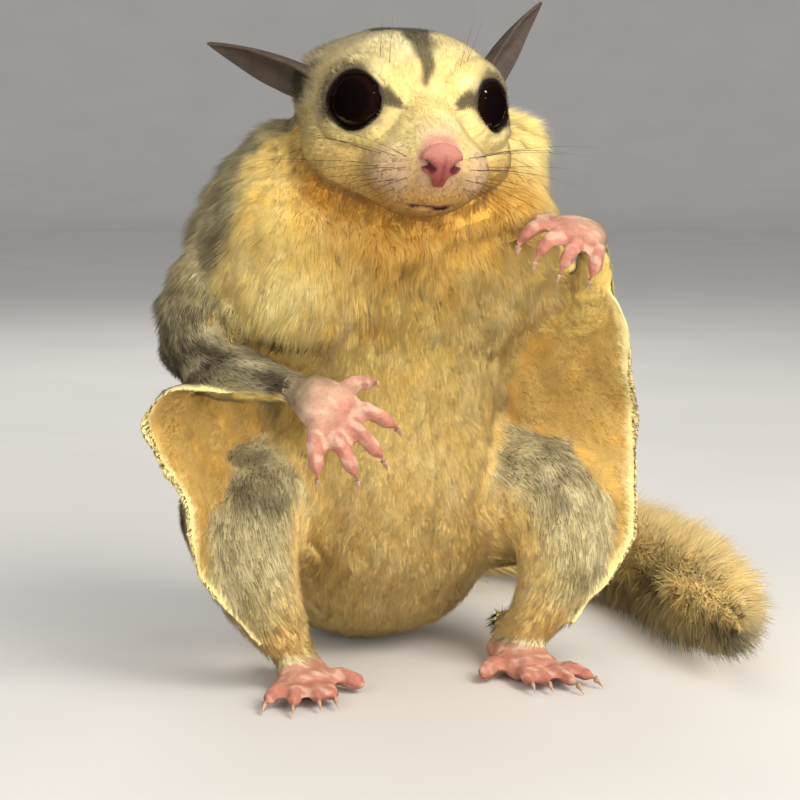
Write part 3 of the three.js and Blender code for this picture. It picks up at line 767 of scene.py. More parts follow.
@dataclass
class Skin:
    """The animal's one skin, from the fleshy nodes: evened, drawn in by the coat's depth, and folded."""

    voxel: float = 0.4
    margin: float = 0.35
    triangles: int = 174_000
    rim: float = 0.85
    lowest: float = 0.15
    steps: int = 6
    surface: Surface = field(init=False)
    regions: Parts = field(init=False)
    rims: Array = field(init=False)

    REMESHED = (
        "head", "neck", "torso", "arm_left", "arm_right", "hand_left", "hand_right", "leg_left", "leg_right",
        "foot_left", "foot_right", "membrane_left", "membrane_right",
    )

    def build(self) -> Piece:
        """Builds the skin.

        Returns:
            The finished piece, without its material.
        """
        piece = copy_of(*self.REMESHED)
        finish_with(piece, "DISPLACE", strength=self.margin / 1000, mid_level=0.0)
        piece = activate(piece, *self.cores())
        bpy.ops.object.join()
        finish_with(piece, "REMESH", mode="VOXEL", voxel_size=self.voxel / 1000)
        piece.name = piece.data.name = "skin"
        self.surface = Surface(piece)
        self.find_regions()
        self.even()
        self.draw_in()
        self.round_tips()
        self.press_folds()
        self.round_rims()
        self.hug_eyes()
        self.thin_out()
        return piece

    @staticmethod
    def cores() -> list[Piece]:
        """The tail under its fur, and rounds inside the arms and legs that fill their hollows."""
        tail = spline(TAIL_PATH, 120)
        pieces = [tube("tail_core", tail, core_at(np.linspace(0, 1, 120)))]
        for name, knots in {**ARMS, "near": LEG, "far": mirrored(LEG)}.items():
            line = spline(knots, 90)
            start = np.minimum(np.arange(90) / 14, 1)
            radius = line[:, 3] * 0.97 * np.sqrt(start * (2 - start))
            pieces.append(tube(f"limb_core_{name}", line[:, :3], radius))
        armpit = spline(((-18, 8, 61), (-25, 6, 58), (-31, -2, 57)), 20)
        pieces.append(tube("armpit", armpit, np.full(20, 2.4)))
        for digits in all_digits().values():
            for first, second in zip(digits[:4], digits[1:4]):
                ends = [digit.joints[0] * 0.6 + digit.joints[1] * 0.4 for digit in (first, second)]
                web = np.linspace(*ends, 8)
                pieces.append(tube("web", web, np.full(8, first.radius * 0.8)))
        return pieces

    def find_regions(self) -> None:
        """Notes which part of the body each point belongs to, with soft borders."""
        corners, faces, owners = [], [], []
        for region in Region:
            for name in region.value:
                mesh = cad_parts[name].data
                start = len(corners)
                corners += [tuple(v.co) for v in mesh.vertices]
                faces += [tuple(start + i for i in p.vertices) for p in mesh.polygons]
                owners += [region] * len(mesh.polygons)
        tree = BVHTree.FromPolygons(corners, faces)
        found = [owners[tree.find_nearest(Vector(place))[2]] for place in in_metres(self.surface.points)]
        order = {region: i for i, region in enumerate(Region)}
        index = np.array([order[region] for region in found])
        sharp = np.eye(len(order))[index]
        soft = self.surface.spread(sharp, 8)
        self.regions = {region: soft[:, i] for region, i in order.items()}

    def even(self) -> None:
        """Takes the flat faces of the solids out of the head, the trunk and the limbs."""
        surface = self.surface
        near_eye = np.zeros(len(surface.points), bool)
        local = to_head(surface.points)
        for side in SIDES.values():
            near_eye |= lengths(local - eye_of(side)[0]) < EYE_RADIUS + 1.9
        mine = self.regions[Region.HEAD] > 0.5
        value = HEAD_FORM.measure(local)
        on_head = mine & ~near_eye & (np.abs(value) < 1.5) & (self.regions[Region.NECK] < 0.4)
        normals = surface.normals()
        turned = normals @ HEAD[:3, :3]
        moved = from_head(HEAD_FORM.draw_on(local, turned))
        weight = surface.spread(on_head.astype(float), 4)[:, None]
        surface.points += (moved - surface.points) * weight * on_head[:, None]
        trunk_share = trunk_of(self.regions)
        value = TRUNK_FORM.measure(surface.points)
        on_trunk = (trunk_share > 0.5) & (np.abs(value) < 1.8) & (surface.points[:, 2] > 2)
        moved = TRUNK_FORM.draw_on(surface.points, normals)
        weight = surface.spread(on_trunk.astype(float), 6)[:, None]
        surface.points += (moved - surface.points) * weight * on_trunk[:, None]
        self.drawn = surface.spread((on_head | on_trunk).astype(float), 3)
        self.even_limbs()
        fine = paws_of(self.regions) + surface.spread(near_eye.astype(float), 3)
        limbs = self.regions[Region.ARM] + self.regions[Region.LEG] + self.regions[Region.MEMBRANE]
        share = np.clip(0.25 + 0.45 * limbs, 0, 0.7) * (1 - 0.75 * np.clip(fine, 0, 1))
        surface.points = surface.spread(surface.points, 14, share)

    def even_limbs(self) -> None:
        """Rounds the arms and legs to the half widths along their lines."""
        surface = self.surface
        lines = [(Region.ARM, ARMS[side]) for side in SIDES]
        lines += [(Region.LEG, LEG), (Region.LEG, mirrored(LEG))]
        for region, knots in lines:
            line = spline(knots, 120)
            mine = self.regions[region] * (surface.points[:, 0] * line[0, 0] > 0)
            chosen = np.nonzero(mine > 0.3)[0]
            points = surface.points[chosen]
            best = np.full(len(points), np.inf)
            target = points.copy()
            for *place, radius in line:
                away = points - place
                distance = lengths(away)
                closer = distance - radius < best
                best[closer] = (distance - radius)[closer]
                target[closer] = place + away[closer] / distance[closer, None] * radius
            weight = (step(0.3, 0.75, mine[chosen]) * step(3.4, 2.2, np.abs(best)))[:, None]
            surface.points[chosen] += (target - points) * weight

    def depth(self) -> Array:
        """How far the skin lies under the tips of the coat at each point."""
        points = self.surface.points
        local = to_head(points)
        face = 0.45 + 0.75 * step(-6, 8, local[:, 1])
        front = step(6, -4, points[:, 1]) * step(50, 62, points[:, 2])
        trunk = {"NECK": 1.9, "TORSO": 1.6 + 0.9 * front}
        depth = by_part(self.regions, {"HEAD": face, **trunk, "ARM": 1.1, "LEG": 1.3, "MEMBRANE": 0.1})
        nose = lengths(local - (0, -21, -6))
        return depth * step(3, 8, nose) + 0.1

    def draw_in(self) -> None:
        """Moves the skin in by the coat's depth, a little at a time."""
        surface = self.surface
        inward = self.depth() + self.margin * (1 - self.drawn)
        inward *= 1 - self.regions[Region.TAIL]
        inward = surface.spread(inward, 6)
        furred = 1 - np.clip(paws_of(self.regions), 0, 1)
        for _ in range(self.steps):
            surface.points -= surface.normals() * inward[:, None] / self.steps
            surface.points = surface.spread(surface.points, 2, 0.06 + 0.3 * furred)
        surface.points[:, 2] = np.maximum(surface.points[:, 2], self.lowest)

    def round_tips(self) -> None:
        """Rounds the ends of the fingers and toes, where the claws come out."""
        points = self.surface.points
        for digit in every_digit():
            tip = digit.joints[-1]
            away = points - tip
            distance = lengths(away)
            ahead = away @ digit.forward
            aside = lengths(away - ahead[:, None] * digit.forward)
            reach = digit.radius * 0.95
            beyond = (ahead > 0.1) & (distance > reach) & (distance < digit.radius + 4.5)
            beyond &= aside < digit.radius * 0.5 + 0.75 * ahead
            points[beyond] = tip + away[beyond] / distance[beyond, None] * reach
        tips = self.surface.spread(paws_of(self.regions), 1)
        self.surface.points = self.surface.spread(points, 3, 0.35 * step(0.4, 0.9, tips))

    def hug_eyes(self) -> None:
        """Closes the lids round the eyeballs, with an even rim round each opening."""
        full = math.asin(EYE_OPENING / EYE_RADIUS)
        for turn in range(3):
            local = to_head(self.surface.points)
            outward = self.surface.normals() @ HEAD[:3, :3]
            near = np.zeros(len(local))
            for name, side in SIDES.items():
                opening = math.asin(LIDS[name] / EYE_RADIUS)
                middle, axis = eye_of(side)
                away = local - middle
                distance = lengths(away)
                way = away / distance[:, None]
                lift = way @ axis
                aside = unit(way - axis * lift[:, None])
                angle = np.arccos(np.clip(lift, -1, 1))
                close = (lift > -0.2) & (distance < EYE_RADIUS + 2.4)
                if turn == 0:
                    angle = angle - (full - opening) * step(full + 0.8, full, angle) * close
                toward = np.array([-side, -0.45, -0.12])
                point = bell(1 - aside @ unit(toward - axis * (toward @ axis)), 0.12)
                least = opening * (1 + 0.1 * point)
                angle = np.where(close, np.maximum(angle, least), angle)
                turned = axis * np.cos(angle)[:, None] + aside * np.sin(angle)[:, None]
                way[close] = turned[close]
                outer = np.sum(outward * way, axis=1) > -0.1
                lid = EYE_RADIUS + 0.28 + 0.3 * step(0.0, 0.3, angle - least)
                reach = np.where(outer, np.maximum(distance, lid), distance)
                reach = np.where(~outer & (distance < EYE_RADIUS + 0.8), EYE_RADIUS - 0.12, reach)
                local[close] = middle + way[close] * reach[close, None]
                near = np.maximum(near, step(EYE_RADIUS + 3, EYE_RADIUS + 1.6, distance))
            self.surface.points = from_head(local)
            if turn < 2:
                self.surface.points = self.surface.spread(self.surface.points, 2, 0.4 * near)

    def press_folds(self) -> None:
        """Presses the body's folds, the edge of the face and the membranes' wrinkles into the skin."""
        surface, regions = self.surface, self.regions
        normals = surface.normals()
        points = surface.points
        rise = np.zeros(len(points))
        for fold in FOLDS:
            share = sum(regions[region] for region in fold.regions)
            rise += fold.rise(points) * step(0.3, 0.7, share)
        beyond = HEAD_FORM.measure(to_head(points))
        below = regions[Region.NECK] * step(12, 0, points[:, 1])
        rise -= 2.0 * bell(np.maximum(beyond - 0.3, 0), 2.6) * below
        for name, sign in SIDES.items():
            chosen = np.nonzero((regions[Region.MEMBRANE] > 0.05) & (points[:, 0] * sign > 0))[0]
            _, facing = Sheet.of(name).find(points[chosen], normals[chosen])
            wave = ripple(points[chosen] * (1, 1, 0.4), 7, 60) * np.clip(2 * facing, -1, 1)
            rise[chosen] += 0.55 * wave * regions[Region.MEMBRANE][chosen]
        trunk = trunk_of(regions)
        chest = step(10, 0, points[:, 1]) * step(50, 60, points[:, 2])
        lumps = 0.4 * ripple(points * (1, 1, 0.55), 7.5, 61) + 0.2 * ripple(points * (1, 1, 0.5), 3.4, 62)
        rise += lumps * trunk * (0.45 + 0.75 * chest)
        limbs = regions[Region.ARM] + regions[Region.LEG]
        rise += 0.16 * ripple(points, 4, 63) * limbs
        temple = 0.8 * regions[Region.HEAD] * step(-4, 2, points[:, 1])
        rise += ruff(points) * (trunk + regions[Region.ARM] + temple) * (2.6 + 0.5 * ripple(points, 6, 64))
        for digit in every_digit():
            rise += self.relief_of(digit, points) * paws_of(regions)
        local = to_head(points)
        _, mouth = nearest_on(laid_on(mouth_line(), local), local)
        rise -= 0.5 * bell(mouth, 0.4) * step(4.4, 2.8, np.abs(local[:, 0])) * regions[Region.HEAD]
        surface.points = points + normals * rise[:, None]
        nape = np.minimum(6 * regions[Region.HEAD] * regions[Region.NECK], 1) * step(-4, 4, points[:, 1])
        hips = regions[Region.LEG] * (regions[Region.TORSO] + regions[Region.FOOT] + regions[Region.MEMBRANE])
        hips = np.minimum(6 * hips, 1) * np.maximum(step(0, 6, points[:, 1]), step(15, 12, points[:, 2]))
        joined = surface.spread(np.maximum(nape, hips), 10)
        surface.points = surface.spread(surface.points, 26, 0.65 * np.minimum(1.6 * joined, 1))
        surface.points = surface.spread(surface.points, 2, 0.4 * (1 - regions[Region.HEAD]))
        surface.points[:, 2] = np.maximum(surface.points[:, 2], self.lowest)

    @staticmethod
    def relief_of(digit: Digit, points: Array) -> Array:
        """The ridge of a digit's bone in the back of the hand, and the creases at its joints."""
        root = digit.joints[0]
        back, share = to_segment(points, root, root + unit(root - digit.joints[1]) * 5)
        rise = 0.3 * bell(back - digit.radius, 0.8) * bell(share - 0.3, 0.6)
        for joint, ahead in zip(digit.joints[1:3], np.diff(digit.joints, axis=0)[1:]):
            along = (points - joint) @ unit(ahead)
            near = lengths(points - joint) < digit.radius * 1.7
            rise = rise + near * (0.09 * bell(along, 0.75) - 0.15 * bell(np.abs(along) - 0.3, 0.2))
        return rise

    def round_rims(self) -> None:
        """Gives each membrane's free edge a smooth rounded rim."""
        surface = self.surface
        mine = self.regions[Region.MEMBRANE]
        self.rims = np.zeros(len(surface.points))
        for name, sign in SIDES.items():
            edge = Sheet.of(name).edge
            rows = np.arange(Sheet.ROWS)
            fine = np.linspace(0, rows[-1], 700)
            line = np.stack([np.interp(fine, rows, column) for column in edge.T], axis=1)
            chosen = np.nonzero((mine > 0.3) & (surface.points[:, 0] * sign > 0))[0]
            points = surface.points[chosen]
            index, distance = nearest_on(line, points)
            weight = step(2.3, 1.2, distance) * step(0.3, 0.6, mine[chosen])
            target = line[index] + (points - line[index]) * (self.rim / np.maximum(distance, 0.05))[:, None]
            surface.points[chosen] += (target - points) * weight[:, None]
            self.rims[chosen] = weight
        surface.points = surface.spread(surface.points, 5, 0.35 * self.rims)

    def thin_out(self) -> None:
        """Thins the mesh where the coat hides it and keeps it fine on the face, hands and feet."""
        surface = self.surface
        surface.write()
        fine = by_part(self.regions, {"HEAD": 1, "HAND": 1, "FOOT": 1}) + 0.7 * self.rims
        coarse = np.clip(1 - fine, 0.0, 1)
        group = surface.piece.vertex_groups.new(name="coarse")
        for level in np.linspace(0, 1, 6):
            chosen = np.nonzero(np.round(coarse * 5) / 5 == round(level, 1))[0]
            if len(chosen):
                group.add(chosen.tolist(), float(level), "REPLACE")
        faces = sum(len(p.vertices) - 2 for p in surface.piece.data.polygons)
        before, values = surface.points.copy(), np.stack(list(self.regions.values()), axis=1)
        settings = {"vertex_group": "coarse", "vertex_group_factor": 1.0}
        finish_with(surface.piece, "DECIMATE", ratio=self.triangles / faces, **settings)
        surface.piece.vertex_groups.clear()
        self.surface = Surface(surface.piece)
        nearest = nearest_of(before, self.surface.points)
        self.regions = {region: values[nearest, i] for i, region in enumerate(self.regions)}


def linear(colour: Triple) -> Array:
    """A colour as seen, from 0 to 255, as the amounts of light that shaders use."""
    share = np.array(colour, float) / 255
    return np.where(share <= 0.04045, share / 12.92, ((share + 0.055) / 1.055) ** 2.4)


def plain(colour: Triple, points: Array) -> Array:
    """One colour for every point."""
    return np.tile(linear(colour), (len(points), 1))


def opaque(tint: Array) -> Array:
    """Colours with a full fourth number."""
    return np.concatenate([tint, np.ones((*tint.shape[:-1], 1))], axis=-1)


def over(base: Array, colour: Triple, mask: Array) -> Array:
    """Lays a colour over others where a mask says."""
    return base + (linear(colour) - base) * np.clip(mask, 0, 1)[:, None]


def layered(base: Array, *layers: tuple[Triple, Array]) -> Array:
    """Lays colours over others one after another, each where its mask says."""
    for colour, mask in layers:
        base = over(base, colour, mask)
    return base


def ruff(points: Array) -> Array:
    """How far places belong to the loose, full fur of the right flank, the lobe and the left of the neck."""
    flank, _ = to_segment(points, (-29, 3, 80), (-37, 0, 62))
    collar = lengths((points - (22.5, -1, 95)) * (1, 1, 0.75))
    lobe = lengths(points - (-22, -12, 66))
    return np.max([1.35 * bell(flank, 9.5), 1.6 * bell(collar, 7.5), 0.9 * bell(lobe, 9)], axis=0)


def to_segment(points: Array, start: Triple, end: Triple) -> tuple[Array, Array]:
    """The distance from points to a straight line, and how far along it each is nearest."""
    first, way = np.array(start, float), np.subtract(end, start).astype(float)
    share = np.clip((points - first) @ way / (way @ way), 0, 1)
    return lengths(points - first - share[:, None] * way), share


def mouth_line() -> Array:
    """The line of the mouth in the head's frame, from its right corner round the front to its left one."""
    heart = np.array((0, -8, -10.2))
    turns = np.linspace(-1.32, 1.32, 60)
    drop = -0.26 - 0.13 * np.cos(turns * 2.4)
    ways = unit(np.stack([np.sin(turns), -np.cos(turns), drop], axis=1))
    inside, outside = np.zeros(60), np.full(60, 40.0)
    for _ in range(24):
        middle = (inside + outside) / 2
        within = HEAD_FORM.measure(heart + ways * middle[:, None]) < 0
        inside, outside = np.where(within, middle, inside), np.where(within, outside, middle)
    return heart + ways * inside[:, None]


@dataclass(frozen=True)
class Markings:
    """The colours of the coat and of the bare skin, as a formula of the place on the body."""

    cream: Triple = (224, 200, 130)
    pale: Triple = (234, 220, 174)
    gold: Triple = (246, 212, 124)
    deep_gold: Triple = (228, 174, 80)
    tan: Triple = (248, 212, 134)
    olive: Triple = (186, 172, 126)
    grey: Triple = (146, 134, 100)
    dark: Triple = (72, 62, 48)
    black: Triple = (28, 20, 17)
    yellow: Triple = (200, 164, 92)
    rim: Triple = (246, 226, 158)
    pink: Triple = (188, 134, 114)
    red: Triple = (176, 104, 88)
    ear: Triple = (82, 71, 63)

    def paint(self, points: Array, normals: Array, regions: Parts) -> dict[str, Array]:
        """Paints the skin.

        Args:
            points: Places on the skin.
            normals: The outward normal at each.
            regions: How far each place belongs to each part of the body.

        Returns:
            tint, the colour; agouti, how far light and dark hairs mix; and bare, 1 where no fur grows.
        """
        tint, agouti = self.trunk(points)
        tint, agouti = self.limbs(points, normals, regions, tint, agouti)
        tint, agouti = self.membranes(points, normals, regions, tint, agouti)
        tint, agouti = self.tail(points, regions, tint, agouti)
        tint, agouti, bare = self.head(points, regions, tint, agouti)
        hands = np.clip(paws_of(regions), 0, 1)
        naked = step(0.42, 0.62, hands)
        wrist = np.zeros(len(points))
        for stance in HANDS.values():
            matrix = stance.matrix()
            inner = (points - matrix[:3, 3]) @ np.linalg.inv(matrix[:3, :3]).T
            back = step(-0.25, 0.35, normals @ unit(matrix[:3, 2]))
            close = bell(lengths(inner), 14)
            naked = naked * (1 - 0.6 * back * close * step(-8, -2.5, inner[:, 1]))
            naked = naked * (1 - 0.9 * close * step(-2.5, 0.5, inner[:, 1]))
            wrist = np.maximum(wrist, close * step(-4.5, -0.5, inner[:, 1] + ripple(points, 3, 24)))
        tint = over(tint, self.pale, step(0.12, 0.4, hands) * 0.6)
        skin = over(plain(self.pink, points), self.red, 0.5 * step(0.1, 1.1, ripple(points, 4, 5)))
        for digit in every_digit():
            for joint in digit.joints[1:]:
                near = bell(lengths(points - joint), digit.radius * 1.25)
                skin = over(skin, self.red, 0.45 * near)
        skin = over(skin, (226, 196, 172), 0.5 * step(0.1, 0.9, ripple(points, 3, 6)))
        tint = layered(
            tint,
            ((194, 164, 138), step(0.4, 0.6, hands) * 0.85),
            ((128, 114, 88), step(0.4, 0.6, hands) * wrist),
        )
        share = step(0.42, 0.62, hands)[:, None] * np.maximum(naked, 0.6 * (1 - wrist))[:, None]
        tint = tint + share * (skin - tint)
        ears = regions[Region.EAR]
        tint = over(tint, self.ear, step(0.4, 0.6, ears))
        bare = np.maximum(bare, np.maximum(naked, step(0.4, 0.6, ears)))
        return {"tint": np.clip(tint, 0, 1), "agouti": agouti * (1 - bare), "bare": bare}

    def trunk(self, points: Array) -> tuple[Array, Array]:
        """The back's grey, the gold of the chest, the tan of the belly and the stripe down the back."""
        x, y, z = points.T
        wobble = ripple(points, 14, 2) * 1.2 + ripple(points, 5, 19) * 0.6
        right = np.interp(z, (12, 40, 58, 64, 83, 90), (16.0, 8.0, -2.0, -8.5, -8.5, 0.0))
        left = np.interp(z, (12, 40, 60, 80, 92), (14.0, 7.0, 4.0, 5.0, 8.0))
        border = left + (right - left) * step(2, -6, x)
        front = step(border + 1.8, border - 1.8, y + wobble)
        tint = over(plain(self.olive, points), self.grey, 0.3 + 0.3 * ripple(points, 9, 3))
        # A darker strip down the right flank beside the edge of the chest's lobe: partly a darker grey patch
        # of fur, partly painted shade.
        to_lobe_shade, _ = to_segment(points, (-31, -8, 76), (-31, -9, 61))
        tint = over(tint, (104, 92, 66), 0.75 * bell(to_lobe_shade, 4))
        chest = over(plain(self.gold, points), self.deep_gold, 0.4 * step(-0.2, 1.2, ripple(points, 11, 4)))
        chest = over(chest, self.cream, 0.6 * step(0.0, 1.1, ripple(points, 8, 6)))
        # Deep gold under the chin and along the face's lower edge: partly the throat's own stained gold,
        # partly painted shade where the head shades the chest.
        throat_stain_and_shade = bell(lengths((points - (-4, -16, 77)) * (0.8, 0.6, 1)), 10)
        beyond = HEAD_FORM.measure(to_head(points))
        throat_stain_and_shade = np.maximum(throat_stain_and_shade, bell(np.maximum(beyond - 1, 0), 5) * step(93, 86, z) * step(-23, -15, x))
        # The pale cream on the ruff's full fur is partly the fur's own paler colour and partly painted light
        # on these raised parts.
        chest = layered(
            chest,
            ((206, 146, 52), 0.75 * throat_stain_and_shade),
            ((248, 228, 154), 0.75 * np.clip(ruff(points), 0, 1)),
        )
        # Painted shade: darker tan where the lobe's fold meets the edge of the bib.
        fold_meet_shade = bell(lengths(points - (-13, -12, 59)), 4)
        chest = over(chest, (176, 138, 78), 0.7 * fold_meet_shade)
        belly = over(plain(self.tan, points), self.gold, 0.45 * step(0, 1, ripple(points, 12, 7)))
        # The pale patch on the left of the belly is painted light, where the chest and the membrane shade it.
        belly = layered(
            belly,
            (self.cream, 0.35 * step(0.2, 1.2, ripple(points, 9, 8))),
            ((248, 222, 150), 0.5 * bell(lengths((points - (15, -8, 56)) * (1, 0.6, 1)), 12)),
        )
        low = step(54, 40, z + wobble)
        chest = chest + (belly - chest) * np.maximum(low, step(4, 14, x) * step(74, 66, z))[:, None]
        tint = tint + (chest - tint) * front[:, None]
        stripe = step(4.6, 2.4, np.abs(x) + wobble * 0.4) * step(8, 14, y)
        tint = over(tint, self.dark, 0.8 * stripe)
        return tint, 0.3 * (1 - front)

    def limbs(
        self, points: Array, normals: Array, regions: Parts, tint: Array, agouti: Array
    ) -> tuple[Array, Array]:
        """The grey and dark fur of the arms and legs and the pale fur on their inner sides; the dark under
        the chest's lobe is partly painted shade.
        """
        side = np.sign(points[:, 0])
        knee = bell(lengths(np.abs(points) * (1, 0, 0) + points * (0, 1, 1) - (30, -6, 35)), 10)
        for region, dark, spots in ((Region.ARM, 0.7, 8), (Region.LEG, -0.1 + 0.8 * knee, 9)):
            arm = region is Region.ARM
            mine = step(0.25, 0.65, regions[region])
            inner = step(0.1, -0.55, normals @ np.array([0, 0, 1.0]) + 0.6 * normals[:, 0] * side)
            if arm:
                inner = np.where(side > 0, np.maximum(inner, step(0.25, -0.35, normals[:, 1])), inner)
            if arm:
                places = [spline(ARMS[name], 60)[:, :3] for name in SIDES]
                index = np.where(side > 0, nearest_on(places[0], points)[0], nearest_on(places[1], points)[0])
                # Dark near the chest's lobe: partly the arm's own dark fur, partly painted shade under the
                # overhanging lobe.
                lobe = nearest_on(spline(FOLDS[0].line, 40), points)[1]
                dark = 0.1 + 0.85 * np.maximum(step(26, 42, index), bell(lobe, 6.5))
            base = plain((176, 164, 124) if arm else (200, 184, 136), points)
            fur = over(base, self.dark, dark + 0.3 * ripple(points, 7, spots))
            fur = over(fur, self.pale, 0.4 * step(0.2, 1.0, ripple(points, 5, spots + 2)))
            if arm:
                start = lengths(np.abs(points) * (1, 0, 1) - (25, 0, 71))
                fur = over(fur, self.olive, 0.9 * step(17, 9, start + 2 * ripple(points, 6, 17)))
            fur = over(fur, self.gold if arm else self.tan, inner)
            tint = tint + (fur - tint) * mine[:, None]
            agouti = agouti + ((0.7 if arm else 0.5) * (1 - inner) - agouti) * mine
        return tint, agouti

    def membranes(
        self, points: Array, normals: Array, regions: Parts, tint: Array, agouti: Array
    ) -> tuple[Array, Array]:
        """The gliding membranes: grey above with a dark band, yellow below, with a pale rim."""
        for name, side in SIDES.items():
            mine = (regions[Region.MEMBRANE] > 0.02) & (points[:, 0] * side > 0)
            near, faces = points[mine], normals[mine]
            edge, facing = Sheet.of(name).find(near, faces)
            under = step(-0.15, 0.15, -facing * side)
            above = over(plain(self.olive, near), self.grey, 0.5 + 0.4 * ripple(near, 8, 16))
            above = over(above, self.black, 0.85 * step(2.4, 3.4, edge) * step(7.5, 5.5, edge))
            below = over(plain(self.yellow, near), self.deep_gold, 0.5 * step(0, 1.2, ripple(near, 6, 12)))
            colour = above + (below - above) * under[:, None]
            colour = over(colour, self.rim, step(3.0, 2.0, edge))
            weight = step(0.2, 0.6, regions[Region.MEMBRANE][mine])[:, None]
            tint[mine] += (colour - tint[mine]) * weight
            agouti[mine] += ((1 - under) * step(2.4, 3.6, edge) * 0.6 - agouti[mine]) * weight[:, 0]
        return tint, agouti

    def tail(self, points: Array, regions: Parts, tint: Array, agouti: Array) -> tuple[Array, Array]:
        """The bushy tail: tan, greyer above and darker to its tip."""
        mine = step(0.2, 0.7, regions[Region.TAIL])
        line = spline(TAIL_PATH, 60)
        share = nearest_on(line, points)[0] / (len(line) - 1)
        brush = over(plain(self.tan, points), self.gold, 0.35 * step(0, 1, ripple(points, 16, 13)))
        brush = layered(
            brush,
            (self.cream, 0.4 * step(0, 1.1, ripple(points, 9, 14))),
            (self.olive, 0.2 * step(10, 15, points[:, 2])),
            (self.dark, 0.4 * step(0.88, 1.0, share)),
        )
        tint = tint + (brush - tint) * mine[:, None]
        return tint, agouti + (0.12 - agouti) * mine

    def head(self, points: Array, regions: Parts, tint: Array, agouti: Array) -> tuple[Array, Array, Array]:
        """The face: cream, with the stripe, the rims of the eyes, the bare nose and the mouth."""
        local = to_head(points)
        x, y, z = local.T
        mine = step(0.3, 0.7, regions[Region.HEAD])
        wobble = ripple(local, 5, 20) * 0.5
        face = over(plain(self.cream, points), self.pale, 0.45 * step(0, 1, ripple(local, 7, 21)))
        face = layered(
            face,
            (self.olive, 0.55 * step(2, 8, y) * step(-4, 4, z)),
            ((214, 202, 158), 0.5 * step(6, 11, z) * step(-14, -6, y)),
            # Painted shade: deeper gold over the lower face and the lower right cheek.
            ((176, 128, 58), 0.85 * step(-3, -11.0, z + wobble)),
            ((206, 176, 104), 0.6 * step(0, -6, z) * step(-4, -12, x) * step(-17, -12, y)),
            ((238, 204, 132), 0.45 * bell(lengths((local - (2, -14, 1)) * (1, 1, 0.7)), 4)),
        )
        lids = np.zeros(len(points))
        for name, side in SIDES.items():
            middle, axis = eye_of(side)
            away = local - middle
            height = away @ axis
            aside = lengths(away - height[:, None] * axis)
            ring = np.hypot(aside - LIDS[name], height - math.sqrt(EYE_RADIUS**2 - LIDS[name] ** 2))
            lids = np.maximum(lids, step(1.0, 0.7, ring))
            ring = ring + wobble * 0.3
            outer = step(1, 5, away @ unit(np.array((0.75 * side, 0.3, 0.55))))
            face = layered(
                face,
                (self.grey, (0.5 + 0.3 * outer) * step(3.0 + 2.2 * outer, 0.9, ring)),
                (self.dark, 0.9 * step(1.3 + 1.5 * outer, 0.7, ring)),
                (self.black, step(1.0, 0.6, ring)),
            )
            reach, share = to_segment(local, (7.1 * side, -12.4, 2.6), (4.2 * side, -15.2, 1.6))
            near = step(2.6 - 2.0 * share, 1.3 - 1.0 * share, reach + wobble * 0.4)
            face = over(face, self.dark, 0.92 * near)
            reach, share = to_segment(local, (5.2 * side, -14.6, 0.6), (6.4 * side, -17.4, -4))
            face = over(face, self.grey, 0.3 * step(1.9, 0.4, reach + wobble * 0.5))
            ear = lengths(local - (14.5 * side, 6, 5))
            face = over(face, (214, 196, 146), 0.75 * step(9.5, 5.5, ear + wobble * 2))
            streaks = step(-0.1, 0.5, ripple(local * (1, 1, 0.3), 2.6, 23))
            face = layered(
                face,
                (self.dark, 0.75 * streaks * step(7, 4, ear + wobble)),
                (self.ear, 0.85 * step(4.0, 2.4, lengths(local - (15.5 * side, 4.5, 2.5)))),
            )
            pad = lengths((local - (6.4 * side, -19, -7.8)) * (1, 1, 1.1))
            face = over(face, (196, 164, 134), 0.75 * step(6.0, 2.2, pad + wobble))
            rows = np.abs(np.mod(local @ np.array((0.12 * side, 0.2, 1.0)) / 1.5, 1) - 0.5)
            spots = step(0.35, 0.1, rows) * step(0.1, 0.9, ripple(local, 1.3, 22))
            face = over(face, self.dark, 0.5 * spots * step(4.4, 2.4, pad))
        turn = np.arctan2(z, -y)
        half = np.interp(turn, (0.34, 0.6, 0.9, 1.2, 1.5, 2.4), (0.2, 1.1, 1.8, 2.6, 5.0, 5.2))
        stripe = step(half + 0.7, half - 0.6, np.abs(x) + wobble) * step(0.3, 0.42, turn) * step(-1, 1, z)
        face = layered(
            face,
            (self.grey, 0.35 * step(half + 2.2, half - 0.4, np.abs(x + wobble)) * step(0.6, 1.1, turn)),
            ((172, 159, 118), step(5, 10, y + wobble)),
        )
        stripe = np.maximum(stripe, step(5.9, 4.4, np.abs(x) + wobble) * step(3, 6, y))
        face = over(face, self.dark, 0.88 * stripe)
        nose = lengths(local - (0, -21.5, -5.6))
        bridge = step(8.0, 3.4, nose) * step(4.2, 2.2, np.abs(x))
        face = layered(
            face,
            ((214, 178, 148), 0.6 * bridge),
            ((192, 140, 120), step(4.4, 3.2, nose)),
        )
        _, lips = nearest_on(laid_on(mouth_line(), local), local)
        under_nose, _ = to_segment(local, (0, -23.4, -9.6), (0, -21.4, -13))
        corners = step(4.2, 2.6, np.abs(x))
        face = layered(
            face,
            ((150, 96, 66), 0.6 * step(1.5, 0.6, lips) * corners),
            # The dark line along the mouth and the dark line down from the nose are painted shade in their
            # creases.
            ((48, 24, 18), step(0.55, 0.3, lips) * corners),
            ((110, 60, 48), 0.8 * step(0.45, 0.15, under_nose)),
        )
        tint = tint + (face - tint) * mine[:, None]
        bare = np.maximum(np.maximum(step(4.4, 3.4, nose), lids), step(0.7, 0.45, lips) * corners) * mine
        sockets = np.zeros(len(points))
        for side in SIDES.values():
            inside = step(EYE_RADIUS + 0.55, EYE_RADIUS + 0.3, lengths(local - eye_of(side)[0]))
            sockets = np.maximum(sockets, inside)
        agouti = agouti + (0.25 * step(2, 10, y) + 0.5 * stripe - agouti) * mine
        return tint, agouti, np.maximum(bare, sockets)


